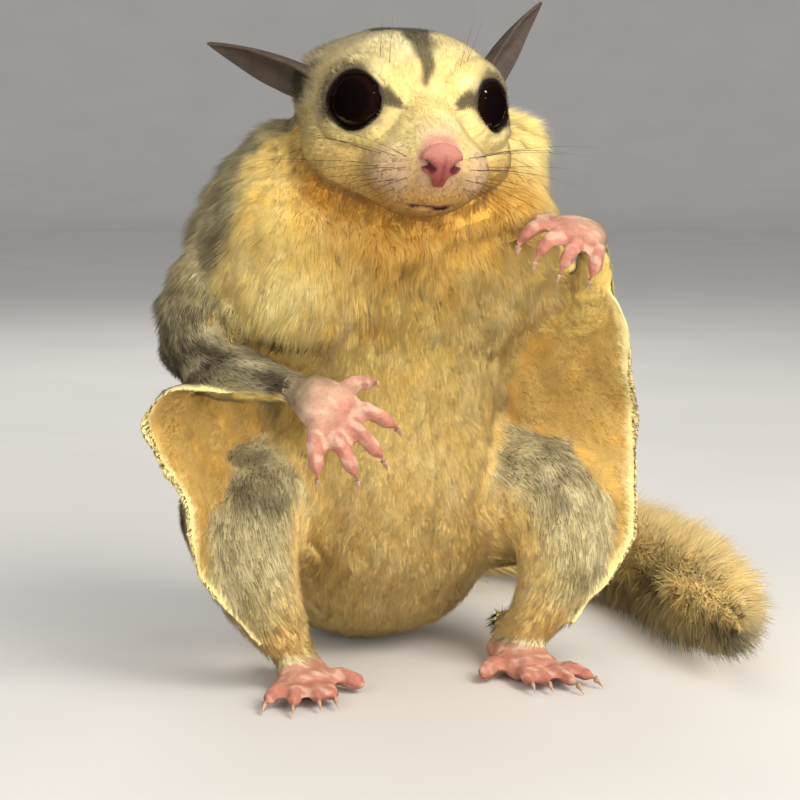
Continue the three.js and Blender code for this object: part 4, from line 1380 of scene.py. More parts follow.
@dataclass
class Ear:
    """A thin cupped ear, pointed at its tip, with its foot inside the fur of the head."""

    side: str
    root: Triple
    tip: Triple
    opens: Triple
    width: float
    curl: float = 2.2
    wall: float = 0.62

    def build(self) -> Piece:
        """Builds the ear as a closed shell."""
        bpy.ops.mesh.primitive_grid_add(x_subdivisions=44, y_subdivisions=56, size=2)
        piece = just_made(f"ear_{self.side}_shell")
        grid = places_of(piece)
        put_at(piece, in_metres(from_head(self.place((grid[:, 0] + 1) / 2, (grid[:, 1] + 1) / 2))))
        finish_with(piece, "SOLIDIFY", thickness=self.wall / 1000, offset=0.0)
        activate(piece)
        edit_all((bpy.ops.mesh.normals_make_consistent, {"inside": False}))
        finish_with(piece, "SMOOTH", iterations=3, factor=0.5)
        return piece

    def place(self, a: Array, b: Array) -> Array:
        """Places in the ear by the share across it and the share of its length."""
        root, tip = np.array(self.root, float), np.array(self.tip, float)
        length = np.linalg.norm(tip - root)
        along = (tip - root) / length
        opens = np.array(self.opens, float)
        front = unit(opens - along * (opens @ along))
        sideways = np.cross(along, front)
        half = self.width * np.maximum(0.02, (0.95 + 0.35 * b) * (1 - b**1.15) ** 0.9)
        wrap = 2.2 + (0.8 - 2.2) * np.sqrt(b)
        radius = half / wrap * 1.25
        angle = wrap * (2 * a - 1)
        ridge = 0.22 * np.cos(angle * 5.5) * np.sin(np.pi * np.clip(b * 1.4, 0, 1))
        ridge += 0.3 * np.sin(b * 34) * bell(a - 0.12, 0.12) * step(0.5, 0.1, b)
        reach = radius * (1 - np.cos(angle)) + self.curl * b * b + ridge
        return (
            root
            + along * (length * (b * 1.06 - 0.06))[:, None]
            + front * reach[:, None]
            + sideways * (np.sin(angle) * radius)[:, None]
        )


EARS = (
    Ear("left", (14.6, 7, 5.5), (26, 15, 19), (0.5, -0.75, -0.3), 4.5),
    Ear("right", (-14.8, 7, 4.5), (-31.5, 12, 10), (-0.05, -0.72, -0.69), 4.6),
)


@dataclass
class Lie:
    """The way that the coat lies at each point of the skin."""

    surface: Surface
    regions: Parts

    def build(self, normals: Array) -> Array:
        """Finds the direction of the fur, along the skin, at each point."""
        points = self.surface.points
        side = np.sign(points[:, 0])[:, None]
        way = self.regions[Region.HEAD][:, None] * self.on_head(points)
        trunk = trunk_of(self.regions)[:, None]
        way = way + trunk * self.on_trunk(points)
        for region, limbs in ((Region.ARM, ARMS), (Region.LEG, {"left": LEG, "right": mirrored(LEG)})):
            for name, sign in SIDES.items():
                line = spline(limbs[name], 50)[:, :3]
                index, _ = nearest_on(line, points)
                share = self.regions[region][:, None] * (side * sign > 0)
                way = way + share * tangents(line)[index]
        for name, sign in SIDES.items():
            sheet = Sheet.of(name)
            rows = np.concatenate([sheet.root, (sheet.root + sheet.edge) / 2, sheet.edge])
            index, _ = nearest_on(rows, points)
            across = unit(sheet.edge - sheet.root)[index % Sheet.ROWS] + np.array([0, 0, -0.5])
            share = self.regions[Region.MEMBRANE][:, None] * (side * sign > 0)
            way = way + share * unit(across)
        tail = spline(TAIL_PATH, 80)
        index, _ = nearest_on(tail, points)
        way = way + self.regions[Region.TAIL][:, None] * tangents(tail)[index] * 2
        for digits in all_digits().values():
            near = paws_of(self.regions)
            index, distance = nearest_on(np.array([d.joints[1] for d in digits]), points)
            forward = np.array([d.forward for d in digits])[index]
            way = way + (near * (distance < 20))[:, None] * forward
        way = flattened(way, normals)
        way = self.surface.spread(way, 12)
        swirl = 0.12 + 0.16 * trunk
        way = way + swirl * np.stack([ripple(points, 6, 30 + k) for k in range(3)], axis=1)
        return flattened(way, normals)

    @staticmethod
    def on_head(points: Array) -> Array:
        """Back from the nose, and away from the eyes next to them."""
        local = to_head(points)
        way = unit(local - (0, -25, -4)) + np.array([0, 0.35, 0])
        for sign in SIDES.values():
            away = local - eye_of(sign)[0]
            distance = lengths(away)[:, None]
            way = way + 0.9 * bell(distance - 6.2, 2.0) * away / distance
        way = way + np.array([0, 0, -0.7]) * step(-2, -10, local[:, 2])[:, None]
        return unit(way) @ HEAD[:3, :3].T

    @staticmethod
    def on_trunk(points: Array) -> Array:
        """Down the body, a little outwards on the chest, and in to the root of the tail behind."""
        x, y, z = points.T
        way = np.stack([x * 0.016, np.where(y < 10, -0.12, 0.15), np.full(len(x), -1.0)], axis=1)
        low = step(30, 8, z) * step(10, 30, y)
        return unit(way) + low[:, None] * unit(np.array([0, 36, 12.0]) - points)


@dataclass(frozen=True)
class Wire:
    """A socket of a material that adds Math nodes where it is used in an expression."""

    tree: bpy.types.NodeTree
    socket: bpy.types.NodeSocket

    def math(self, operation: str, *others: "Wire | float", swapped: bool = False) -> "Wire":
        """A Math node on this value and others.

        Args:
            operation: What the node does.
            others: The other values.
            swapped: Whether this value comes second.

        Returns:
            The result.
        """
        node = self.tree.nodes.new("ShaderNodeMath")
        node.operation = operation
        values = [self, *others]
        for slot, value in zip(node.inputs, reversed(values) if swapped else values):
            if isinstance(value, Wire):
                self.tree.links.new(value.socket, slot)
            else:
                slot.default_value = value
        return Wire(self.tree, node.outputs[0])

    def __add__(self, other: "Wire | float") -> "Wire":
        """This value and another together."""
        return self.math("ADD", other)

    def __sub__(self, other: "Wire | float") -> "Wire":
        """This value less another."""
        return self.math("SUBTRACT", other)

    def __rsub__(self, other: float) -> "Wire":
        """A number less this value."""
        return self.math("SUBTRACT", other, swapped=True)

    def __mul__(self, other: "Wire | float") -> "Wire":
        """This value times another."""
        return self.math("MULTIPLY", other)

    __radd__, __rmul__ = __add__, __mul__


class Material:
    """A material made of procedural nodes."""

    def __init__(self, name: str) -> None:
        """Starts an empty material."""
        self.made = bpy.data.materials.new(name)
        self.made.use_nodes = True
        self.tree = self.made.node_tree
        self.tree.nodes.clear()

    def node(
        self, kind: str, settings: dict | None = None, inputs: dict | None = None, output: int | str = 0
    ) -> Wire:
        """Adds a node.

        Args:
            kind: The node's type.
            settings: Its settings, set first.
            inputs: The values or links of its sockets.
            output: Which output to return.

        Returns:
            The chosen output.
        """
        node = self.tree.nodes.new(kind)
        for key, value in (settings or {}).items():
            if key == "stops":
                ramp = node.color_ramp
                while len(ramp.elements) < len(value):
                    ramp.elements.new(0.5)
                for element, (place, colour) in zip(ramp.elements, value):
                    element.position = place
                    element.color = colour
            else:
                setattr(node, key, value)
        for key, value in (inputs or {}).items():
            if isinstance(value, Wire):
                self.tree.links.new(value.socket, node.inputs[key])
            else:
                node.inputs[key].default_value = value
        return Wire(self.tree, node.outputs[output])

    def attribute(self, name: str, output: str = "Fac") -> Wire:
        """A value that the piece's points carry."""
        return self.node("ShaderNodeAttribute", {"attribute_name": name}, output=output)

    def place(self) -> Wire:
        """The place on the piece, in metres."""
        return self.node("ShaderNodeTexCoord", output="Object")

    def noise(self, size: float, detail: float = 3.0, rough: float = 0.5) -> Wire:
        """Noise whose patches are about a size in millimetres."""
        inputs = {"Vector": self.place(), "Scale": 1000 / size, "Detail": detail, "Roughness": rough}
        return self.node("ShaderNodeTexNoise", None, inputs)

    def mix(self, factor: Wire | float, first: Wire | tuple, second: Wire | tuple, way: str = "MIX") -> Wire:
        """Mixes two colours."""
        settings = {"data_type": "RGBA", "blend_type": way}
        return self.node("ShaderNodeMix", settings, {0: factor, 6: first, 7: second}, 2)

    def shaded(self, colour: Wire, shade: Wire) -> Wire:
        """A colour, lighter or darker by a shade."""
        grey = self.node("ShaderNodeCombineXYZ", None, {0: shade, 1: shade, 2: shade})
        return self.mix(1.0, colour, grey, "MULTIPLY")

    def cells(self, scale: float) -> Wire:
        """How far each place is from the middle of its cell, with a number of cells to a metre."""
        return self.node("ShaderNodeTexVoronoi", None, {"Vector": self.place(), "Scale": scale}, "Distance")

    def range(self, value: Wire, low: float, high: float, start: float = 0.0, end: float = 1.0) -> Wire:
        """Maps a value from one range to another."""
        inputs = {"Value": value, "From Min": low, "From Max": high, "To Min": start, "To Max": end}
        return self.node("ShaderNodeMapRange", None, inputs)

    def bump(self, height: Wire, depth: float, strength: float = 1.0) -> Wire:
        """A bump of a depth in millimetres."""
        inputs = {"Height": height, "Distance": depth / 1000, "Strength": strength}
        return self.node("ShaderNodeBump", None, inputs)

    def surface(self, **inputs: object) -> bpy.types.Material:
        """Ends the material in one surface shader.

        Args:
            inputs: Its sockets by name, with _ for a space.

        Returns:
            The finished material.
        """
        named = {key.replace("_", " "): value for key, value in inputs.items()}
        shader = self.node("ShaderNodeBsdfPrincipled", None, named)
        end = self.tree.nodes.new("ShaderNodeOutputMaterial")
        self.tree.links.new(shader.socket, end.inputs["Surface"])
        return self.made


@dataclass(frozen=True)
class SkinFinish:
    """Velvet under the coat, and creased, faintly moist skin on the nose, the hands and the feet."""

    name: str = "glider_skin"

    def make(self) -> bpy.types.Material:
        """Makes the material."""
        made = Material(self.name)
        tint, bare = made.attribute("tint", "Color"), made.attribute("bare")
        fine, broad = made.noise(0.35, 2), made.noise(2.6, 4)
        pores = made.cells(1800.0)
        shade = made.range(broad, 0.3, 0.7, 0.82, 1.12) * made.range(fine, 0.3, 0.7, 0.9, 1.08)
        height = fine * (1 - bare) * 0.5 + pores * bare * 0.5 + made.noise(1.1, 5) * bare
        return made.surface(
            Base_Color=made.shaded(tint, shade),
            Roughness=made.range(bare, 0, 1, 0.85, 0.42),
            Subsurface_Weight=0.08,
            Subsurface_Radius=(0.0015, 0.0006, 0.0004),
            Subsurface_Scale=1.0,
            Specular_IOR_Level=0.35,
            Normal=made.bump(height, 0.16, 0.7),
        )


@dataclass(frozen=True)
class CoatFinish:
    """Soft hairs that carry the markings, paler at their tips; their darker roots are partly painted shade.
    """

    name: str
    roughness: float = 0.66
    softness: float = 0.82

    def make(self) -> bpy.types.Material:
        """Makes the material."""
        made = Material(self.name)
        tint = made.attribute("tint", "Color")
        broad, fine = made.noise(3.4, 3), made.noise(0.5, 2)
        shade = made.range(broad, 0.3, 0.7, 0.93, 1.05) * made.range(fine, 0.3, 0.7, 0.95, 1.05)
        true = made.node("ShaderNodeNewGeometry", output="Normal")
        up = made.attribute("skin_up", "Vector")
        soft = made.node("ShaderNodeMix", {"data_type": "VECTOR"}, {0: self.softness, 4: true, 5: up}, 1)
        return made.surface(
            Base_Color=made.shaded(tint, shade),
            Roughness=made.range(broad, 0.3, 0.7, self.roughness - 0.06, self.roughness + 0.06),
            Specular_IOR_Level=0.12,
            Sheen_Weight=0.12,
            Sheen_Roughness=0.5,
            Normal=made.node("ShaderNodeVectorMath", {"operation": "NORMALIZE"}, {0: soft}),
        )


@dataclass(frozen=True)
class EyeFinish:
    """A wet, nearly black eye, with a dark brown iris round the wide pupil."""

    name: str = "glider_eye"

    def make(self) -> bpy.types.Material:
        """Makes the material."""
        made = Material(self.name)
        ring = made.attribute("iris")
        stops = (
            (0.0, (0.003, 0.002, 0.002, 1)), (0.5, (0.004, 0.002, 0.002, 1)),
            (0.66, (0.009, 0.004, 0.003, 1)), (0.82, (0.007, 0.003, 0.002, 1)),
            (0.9, (0.002, 0.002, 0.002, 1)),
        )
        threads = made.noise(0.5, 4)
        colour = made.node("ShaderNodeValToRGB", {"stops": stops}, {"Fac": ring + (threads - 0.5) * 0.12})
        return made.surface(
            Base_Color=colour, Roughness=made.range(threads, 0, 1, 0.04, 0.08), Specular_IOR_Level=0.45
        )


@dataclass(frozen=True)
class NoseFinish:
    """Moist, finely pebbled bare skin, pink above and deep red below; the red below is partly painted shade.
    """

    name: str = "glider_nose"

    def make(self) -> bpy.types.Material:
        """Makes the material."""
        made = Material(self.name)
        pebbles = made.cells(2600.0)
        colour = made.mix(made.noise(0.9, 3) * 0.25, made.attribute("tint", "Color"), (0.42, 0.12, 0.11, 1))
        return made.surface(
            Base_Color=colour,
            Roughness=made.range(pebbles, 0, 1, 0.3, 0.42),
            Subsurface_Weight=0.12,
            Subsurface_Radius=(0.0015, 0.0005, 0.0004),
            Subsurface_Scale=1.0,
            Normal=made.bump(pebbles + made.noise(0.8, 3), 0.09, 0.8),
        )


@dataclass(frozen=True)
class HornFinish:
    """Pale, slightly clear horn or stiff hair, with streaks along it."""

    name: str
    first: tuple
    second: tuple
    roughness: float = 0.35

    def make(self) -> bpy.types.Material:
        """Makes the material."""
        made = Material(self.name)
        streaks = made.noise(0.6, 3)
        return made.surface(
            Base_Color=made.mix(made.range(streaks, 0.3, 0.7), self.first, self.second),
            Roughness=made.range(streaks, 0, 1, self.roughness - 0.08, self.roughness + 0.1),
        )


@dataclass(frozen=True)
class FloorFinish:
    """A plain pale floor."""

    name: str = "pale_floor"

    def make(self) -> bpy.types.Material:
        """Makes the material."""
        made = Material(self.name)
        cloud = made.range(made.noise(60, 2), 0.3, 0.7)
        colour = made.mix(cloud, (0.62, 0.6, 0.575, 1), (0.65, 0.63, 0.6, 1))
        return made.surface(Base_Color=colour, Roughness=0.7)


def dress(piece: Piece, material: bpy.types.Material, slot: str | None, *stands_for: str) -> None:
    """Gives a piece its material, its body and the solids that it stands for."""
    piece.data.materials.clear()
    piece.data.materials.append(material)
    piece.data.polygons.foreach_set("use_smooth", np.ones(len(piece.data.polygons), bool))
    piece.data.polygons.foreach_set("material_index", np.zeros(len(piece.data.polygons), np.int32))
    piece.data.update()
    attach(piece, "root")
    if stands_for:
        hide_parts(*stands_for)
    triangles = sum(len(p.vertices) - 2 for p in piece.data.polygons)
    LOG.info("%s: %d triangles", piece.name, triangles)


@dataclass
class Pelt:
    """What the coat needs to know about the skin: its triangles and a row of values for each point."""

    points: Array
    normals: Array
    corners: Array
    unwrap: Array
    values: dict[str, Array]

    @classmethod
    def of(cls, surface: Surface, values: dict[str, Array]) -> "Pelt":
        """Reads the skin's triangles and its unwrap."""
        mesh = surface.piece.data
        mesh.calc_loop_triangles()
        count = len(mesh.loop_triangles)
        corners = np.empty(count * 3, np.int32)
        mesh.loop_triangles.foreach_get("vertices", corners)
        loops = np.empty(count * 3, np.int32)
        mesh.loop_triangles.foreach_get("loops", loops)
        flat = np.empty(len(mesh.loops) * 2, np.float32)
        mesh.uv_layers["OFBake"].data.foreach_get("uv", flat)
        unwrap = flat.reshape(-1, 2)[loops].reshape(-1, 3, 2)
        normals = unit(surface.spread(surface.normals(), 5))
        return cls(surface.points, normals, corners.reshape(-1, 3), unwrap, values)

    def scatter(self, weight: Array, count: int, seed: int) -> dict[str, Array]:
        """Picks roots on the skin at random, more where the weight is high.

        Args:
            weight: One value for each point of the skin.
            count: How many roots to pick.
            seed: Makes the choice repeatable.

        Returns:
            The roots with all of the skin's values at each.
        """
        draw = np.random.default_rng(seed)
        a, b, c = (self.points[self.corners[:, k]] for k in range(3))
        area = lengths(np.cross(b - a, c - a)) / 2
        shares = np.cumsum(area * weight[self.corners].mean(axis=1))
        chosen = np.searchsorted(shares, draw.uniform(0, shares[-1], count))
        u, v = draw.uniform(size=(2, count))
        flip = u + v > 1
        u, v = np.where(flip, 1 - u, u), np.where(flip, 1 - v, v)
        mixed = np.stack([1 - u - v, u, v], axis=1)

        def at(rows: Array) -> Array:
            """Rows of the skin's points, mixed at each root."""
            corner = rows[self.corners[chosen]]
            share = mixed if corner.ndim == 2 else mixed[:, :, None]
            return (corner * share).sum(axis=1)

        roots = {name: at(rows) for name, rows in self.values.items()}
        roots["place"] = at(self.points)
        roots["up"] = unit(at(self.normals))
        puff = np.stack([ripple(roots["place"], 2.6, 70 + k) for k in range(3)], axis=1)
        roots["shade_up"] = unit(roots["up"] + 0.11 * np.clip(roots["length"], 0, 3.5)[:, None] * puff)
        roots["uv"] = (self.unwrap[chosen] * mixed[:, :, None]).sum(axis=1)
        return roots


@dataclass(frozen=True)
class Tufts:
    """One stretch of the coat: thin tapered tufts of hair, closed, three-sided and laid along the body."""

    name: str
    count: int
    width: float
    slot: str
    seed: int
    clump: float = 0.25
    clump_size: int = 14
    bend: float = 0.75
    wild: float = 0.12

    PATCH = 0.003
    SUNK = 0.12
    RIDGE = 0.35
    FACES = ((0, 2, 1), (0, 1, 3), (1, 2, 3), (2, 0, 3))

    def grow(self, pelt: Pelt, weight: Array) -> Piece:
        """Grows the tufts on the skin.

        Args:
            pelt: The skin.
            weight: How densely they stand at each of its points.

        Returns:
            The piece, without its material.
        """
        draw = np.random.default_rng(self.seed)
        roots = pelt.scatter(weight, self.count, self.seed)
        place, up, lie = roots["place"], roots["up"], roots["lie"]
        lie = flattened(lie + draw.normal(size=lie.shape) * self.wild, up)
        length = roots["length"] * draw.uniform(0.7, 1.15, self.count)
        lift = roots["lift"] * draw.uniform(0.6, 1.35, self.count)
        width = self.width * draw.uniform(0.75, 1.2, self.count) * np.clip(roots["length"] / 3, 0.6, 1.15)
        gather, bright = self.clumps(place, lie, up, length, draw)
        side = np.cross(up, lie) * (width / 2)[:, None]
        slope = lift * (1 - self.bend / 2)
        root = place - up * self.SUNK
        ahead, above = (length * turn(slope) for turn in (np.cos, np.sin))
        tip = place + lie * ahead[:, None] + up * above[:, None] + gather
        ridge = root + up * (width / 2)[:, None] * self.RIDGE
        points = np.stack([root - side, root + side, ridge, tip], axis=1)
        points[..., 2] = np.maximum(points[..., 2], 0.05)
        share = np.array([0.0, 0.0, 0.0, 1.0])
        tint = self.colours(roots, share, bright, draw)
        return self.mesh(points, share, tint, roots)

    def clumps(
        self, place: Array, lie: Array, up: Array, length: Array, draw: Chance
    ) -> tuple[Array, Array]:
        """Draws the tips of neighbouring tufts together, and gives each clump a shade of its own."""
        centres = draw.choice(self.count, max(self.count // self.clump_size, 1), replace=False)
        nearest = centres[nearest_of(place[centres], place)]
        reach = lie[nearest] * length[:, None] + (place[nearest] - place)
        gather = (reach - lie * length[:, None]) * self.clump
        limit = 0.35 * length[:, None]
        size = lengths(gather)[:, None]
        gather *= np.minimum(1, limit / np.maximum(size, 1e-9))
        gather -= up * np.minimum(np.sum(gather * up, axis=1, keepdims=True), 0)
        shade = draw.normal(size=self.count)
        return gather, shade[nearest]

    def colours(self, roots: dict[str, Array], share: Array, bright: Array, draw: Chance) -> Array:
        """The colour of each point of the tufts: darker and deeper at the root, which is partly painted
        shade, and some dark or light where grey.
        """
        mixed = roots["agouti"]
        broad = ripple(roots["place"] * (1, 1, 0.7), 6, 90)
        curls = ripple(roots["place"], 2.2, 91)
        tone = 0.022 * bright + 0.028 * draw.normal(size=self.count) + 0.05 * broad + 0.035 * curls
        # Towards the root the colour is darker and raised to a higher power, deeper and more saturated:
        # partly the hairs' own darker roots, partly painted shade, since the coat casts no shadows.
        along = (-0.2 + 0.28 * share**0.8)[None, :]
        depth = np.exp(-1.7 * (tone[:, None] + along))
        darker = draw.uniform(size=self.count) < 0.42
        value = np.where(darker, 1 - 0.58 * mixed, 1 + 0.45 * mixed) * (1 + 0.5 * tone)
        shade = np.clip(value, 0.2, 1.9)[:, None] * (1 + 0.6 * along)
        tint = np.clip(roots["tint"][:, None, :] ** depth[:, :, None] * shade[:, :, None], 0, 1)
        return opaque(tint)

    def mesh(self, points: Array, share: Array, tint: Array, roots: dict[str, Array]) -> Piece:
        """Joins all tufts in one mesh with their values and their unwrap."""
        each = points.shape[1]
        faces = np.array(self.FACES, np.int32)
        corners = (faces[None] + (np.arange(self.count) * each)[:, None, None]).reshape(-1)
        mesh = bpy.data.meshes.new(self.name)
        mesh.vertices.add(self.count * each)
        mesh.vertices.foreach_set("co", in_metres(points.reshape(-1, 3)).astype(np.float32).ravel())
        mesh.loops.add(len(corners))
        mesh.loops.foreach_set("vertex_index", corners)
        mesh.polygons.add(len(corners) // 3)
        mesh.polygons.foreach_set("loop_start", np.arange(0, len(corners), 3, dtype=np.int32))
        mesh.update(calc_edges=True)
        piece = bpy.data.objects.new(self.name, mesh)
        bpy.context.collection.objects.link(piece)
        set_attribute(piece, "tint", tint.reshape(-1, 4))
        set_attribute(piece, "skin_up", np.repeat(roots["shade_up"], each, axis=0))
        uv = roots["uv"]
        low, high = uv.min(axis=0), uv.max(axis=0)
        uv = 0.004 + (uv - low) / (high - low) * 0.992
        across = np.array([-0.5, 0.5, 0.0, -0.5])
        patch = uv[:, None, :] + self.PATCH * np.stack([across, share - 0.5], axis=1)[None]
        layer = mesh.uv_layers.new(name="OFBake")
        layer.data.foreach_set("uv", patch.reshape(-1, 2)[corners].astype(np.float32).ravel())
        return piece


@dataclass
class Body:
    """The skin with its coat."""

    skin: Skin = field(default_factory=Skin)

    def build(self) -> None:
        """Builds the skin, joins the ears to it, paints it and grows the coat."""
        piece = self.skin.build()
        count = len(self.skin.surface.points)
        shells = [ear.build() for ear in EARS]
        activate(piece, *shells)
        bpy.ops.object.join()
        surface = Surface(piece)
        extra = len(surface.points) - count
        regions = {
            region: np.concatenate([values, np.full(extra, float(region is Region.EAR))])
            for region, values in self.skin.regions.items()
        }
        activate(piece)
        edit_all((bpy.ops.uv.smart_project, {"angle_limit": 1.15, "island_margin": 0.0005}))
        piece.data.uv_layers[0].name = "OFBake"
        normals = surface.normals()
        paint = Markings().paint(surface.points, normals, regions)
        tint = paint["tint"]
        set_attribute(piece, "tint", opaque(tint))
        set_attribute(piece, "bare", paint["bare"])
        dress(piece, SkinFinish().make(), "cream_fur", *Skin.REMESHED, *Region.EAR.value, *Region.TAIL.value)
        values = {
            "tint": tint,
            "agouti": paint["agouti"],
            "lie": Lie(surface, regions).build(normals),
            **self.pile(surface.points, regions),
        }
        pelt = Pelt.of(surface, values)
        self.coat(pelt, regions, 1 - paint["bare"])

    @staticmethod
    def pile(points: Array, regions: Parts) -> dict[str, Array]:
        """The length of the hairs and the angle at which they leave the skin."""
        local = to_head(points)
        y, z = points[:, 1], points[:, 2]
        face = 0.9 + 1.5 * step(-16, 8, local[:, 1])
        front = step(8, -2, y) * step(54, 64, z)
        ears = np.abs(local) * (1, 0, 0) + local * (0, 1, 1)
        roots = bell(lengths(ears - (14.5, 5.5, 5.5)), 4.5)
        line = spline(TAIL_PATH, 120)
        share = nearest_on(line, points)[0] / (len(line) - 1)
        lift = 0.62
        brush = (brush_at(share) - core_at(share)) / math.sin(lift) * 1.02
        left = (1 - share) * np.sum(lengths(np.diff(line, axis=0))) + 1.5
        brush = np.minimum(brush, left / math.cos(lift))
        length = by_part(regions, {
            "HEAD": face + 2.6 * roots, "NECK": 3.3, "TORSO": 3.0 + 0.5 * front, "ARM": 2.3, "LEG": 2.8,
            "MEMBRANE": 1.4, "HAND": 1.0, "FOOT": 1.0, "TAIL": brush, "EAR": 0.6,
        })
        lift = by_part(regions, {
            "HEAD": 0.22 + 0.12 * step(-16, 4, local[:, 1]) + 0.4 * roots, "NECK": 0.55,
            "TORSO": 0.42 + 0.16 * front, "ARM": 0.34, "LEG": 0.38, "MEMBRANE": 0.26, "HAND": 0.22,
            "FOOT": 0.22, "TAIL": lift, "EAR": 0.3,
        })
        full = np.clip(ruff(points), 0, 1) * (trunk_of(regions) + regions[Region.ARM])
        for fold in FOLDS[:2]:
            edge = spline(fold.line, 60)
            index, distance = nearest_on(edge, points)
            above = (points - edge[index]) @ unit(np.array(fold.above, float)) > -0.5
            full = full + 0.8 * bell(distance, 3) * above * trunk_of(regions)
        rim = np.minimum(*(nearest_on(Sheet.of(name).edge, points)[1] for name in SIDES))
        thin = 1 - 0.6 * step(3.2, 1.4, rim) * np.minimum(2 * regions[Region.MEMBRANE], 1)
        length = (length + 1.4 * full) * thin
        lift = (lift + 0.12 * full) * thin
        return {"length": length, "lift": lift * (1 + 0.2 * ripple(points, 7, 50))}

    @staticmethod
    def coat(pelt: Pelt, regions: Parts, furred: Array) -> None:
        """Grows each stretch of the coat and dresses it."""
        _, y, z = pelt.points.T
        local = to_head(pelt.points)
        trunk = trunk_of(regions)
        face = regions[Region.HEAD] * step(5, 4, local[:, 1])
        front = step(8, 7, y)
        upper = step(56, 57, z)
        hands = paws_of(regions)
        crown = regions[Region.HEAD] - face
        arms = regions[Region.ARM] + hands * step(30, 36, z)
        legs = regions[Region.LEG] + hands * step(36, 30, z)
        coats = (
            (Tufts("coat_face", 48_000, 0.19, "cream_fur", 101, 0.2, 12), face),
            (Tufts("coat_crown", 34_000, 0.2, "cream_fur", 102, 0.2, 12), crown),
            (Tufts("coat_chest", 49_900, 0.24, "gold_fur", 103, 0.3, 20), trunk * front * upper),
            (Tufts("coat_belly", 48_000, 0.22, "gold_fur", 104, 0.2, 14), trunk * front * (1 - upper)),
            (Tufts("coat_back", 49_000, 0.28, "grey_fur", 105, 0.25, 18), trunk * (1 - front)),
            (Tufts("coat_arms", 28_000, 0.22, "grey_fur", 106, 0.25, 12), arms),
            (Tufts("coat_legs", 36_000, 0.24, "grey_fur", 107, 0.3, 14), legs),
            (Tufts("coat_membranes", 36_000, 0.2, "membrane_fur", 108, 0.2, 12), regions[Region.MEMBRANE]),
            (Tufts("coat_tail", 48_000, 0.32, "tail_fur", 109, 0.2, 10, 0.5, 0.18), regions[Region.TAIL]),
        )
        for tufts, weight in coats:
            piece = tufts.grow(pelt, weight * furred)
            piece.visible_shadow = False
            dress(piece, CoatFinish(tufts.name).make(), tufts.slot)


@dataclass
class Eye:
    """One eyeball with its bulging cornea."""

    side: str
    radius: float = EYE_RADIUS - 0.03
    bulge: float = 0.35

    def build(self) -> None:
        """Builds and dresses the eye."""
        middle, axis = eye_of(SIDES[self.side])
        middle, axis = from_head(middle), axis @ HEAD[:3, :3].T
        bpy.ops.mesh.primitive_uv_sphere_add(segments=64, ring_count=40, radius=self.radius / 1000)
        piece = just_made(f"eyeball_{self.side}")
        turn = Vector((0, 0, 1)).rotation_difference(Vector(axis)).to_matrix().to_4x4()
        piece.data.transform(Matrix.Translation(Vector((middle + SHIFT) / 1000)) @ turn)
        surface = Surface(piece)
        away = surface.points - middle
        angle = np.arccos(np.clip(unit(away) @ axis, -1, 1))
        surface.points += unit(away) * (self.bulge * np.cos(np.minimum(angle * 1.6, np.pi / 2)) ** 2)[:, None]
        surface.write()
        set_attribute(piece, "iris", angle / math.asin(EYE_OPENING / EYE_RADIUS))
        dress(piece, EyeFinish().make(), "eye", f"eye_{self.side}")


@dataclass
class Nose:
    """The bare nose pad, with its comma-shaped nostrils and its groove."""

    voxel: float = 0.2

    def build(self) -> None:
        """Builds and dresses the nose from its solid, evened and carved."""
        piece = copy_of("nose")
        finish_with(piece, "REMESH", mode="VOXEL", voxel_size=self.voxel / 1000)
        piece.name = piece.data.name = "nose_pad"
        surface = Surface(piece)
        surface.points = surface.spread(surface.points, 14, 0.5)
        local = to_head(surface.points)
        local[:, 1] += 1.6 * step(-22.2, -21.2, local[:, 1])
        local[:, 1] -= 0.25 * step(-21, -24, local[:, 1])
        for sign in SIDES.values():
            distance = self.from_nostril(local, sign, (-25.2, -24.6, -23.5, -22.4))
            local[:, 1] += 0.75 * bell(distance, 0.55)
            local[:, 2] += 0.2 * bell(distance - 1.1, 0.45) * np.sign(local[:, 2] + 6.5)
        groove = np.abs(local[:, 0])
        local[:, 1] += 0.3 * bell(groove, 0.32) * step(-4.2, -6, local[:, 2])
        surface.points = from_head(local)
        surface.points = surface.spread(surface.points, 1, 0.4)
        surface.write()
        local = to_head(surface.points)
        tint = plain((178, 122, 106), local)
        # Deeper red towards the bottom: partly the nose's own colour, partly painted shade on its underside.
        tint = layered(
            tint,
            ((148, 72, 66), 0.85 * step(-4.4, -7.0, local[:, 2])),
            ((134, 54, 50), 0.7 * step(-7.2, -9.6, local[:, 2])),
        )
        # Painted shade: near black in the shallow nostrils, and darker red down the groove below the nose's
        # middle.
        for sign in SIDES.values():
            distance = self.from_nostril(local, sign, (-24.4, -24, -23, -22.2))
            tint = over(tint, (60, 18, 20), step(1.0, 0.45, distance))
        tint = over(tint, (120, 44, 46), 0.6 * bell(local[:, 0], 0.3) * step(-5.5, -7, local[:, 2]))
        set_attribute(piece, "tint", opaque(tint))
        dress(piece, NoseFinish().make(), "nose", "nose")

    @staticmethod
    def from_nostril(points: Array, side: float, depths: tuple[float, ...]) -> Array:
        """How far points are from the line of a nostril, by how far forward each of its knots is."""
        across, heights = (1.7, 2.5, 3.4, 4.3), (-7.2, -6.6, -6.3, -6.8)
        knots = tuple((x * side, y, z) for x, y, z in zip(across, depths, heights))
        return nearest_on(spline(knots, 30), points)[1]


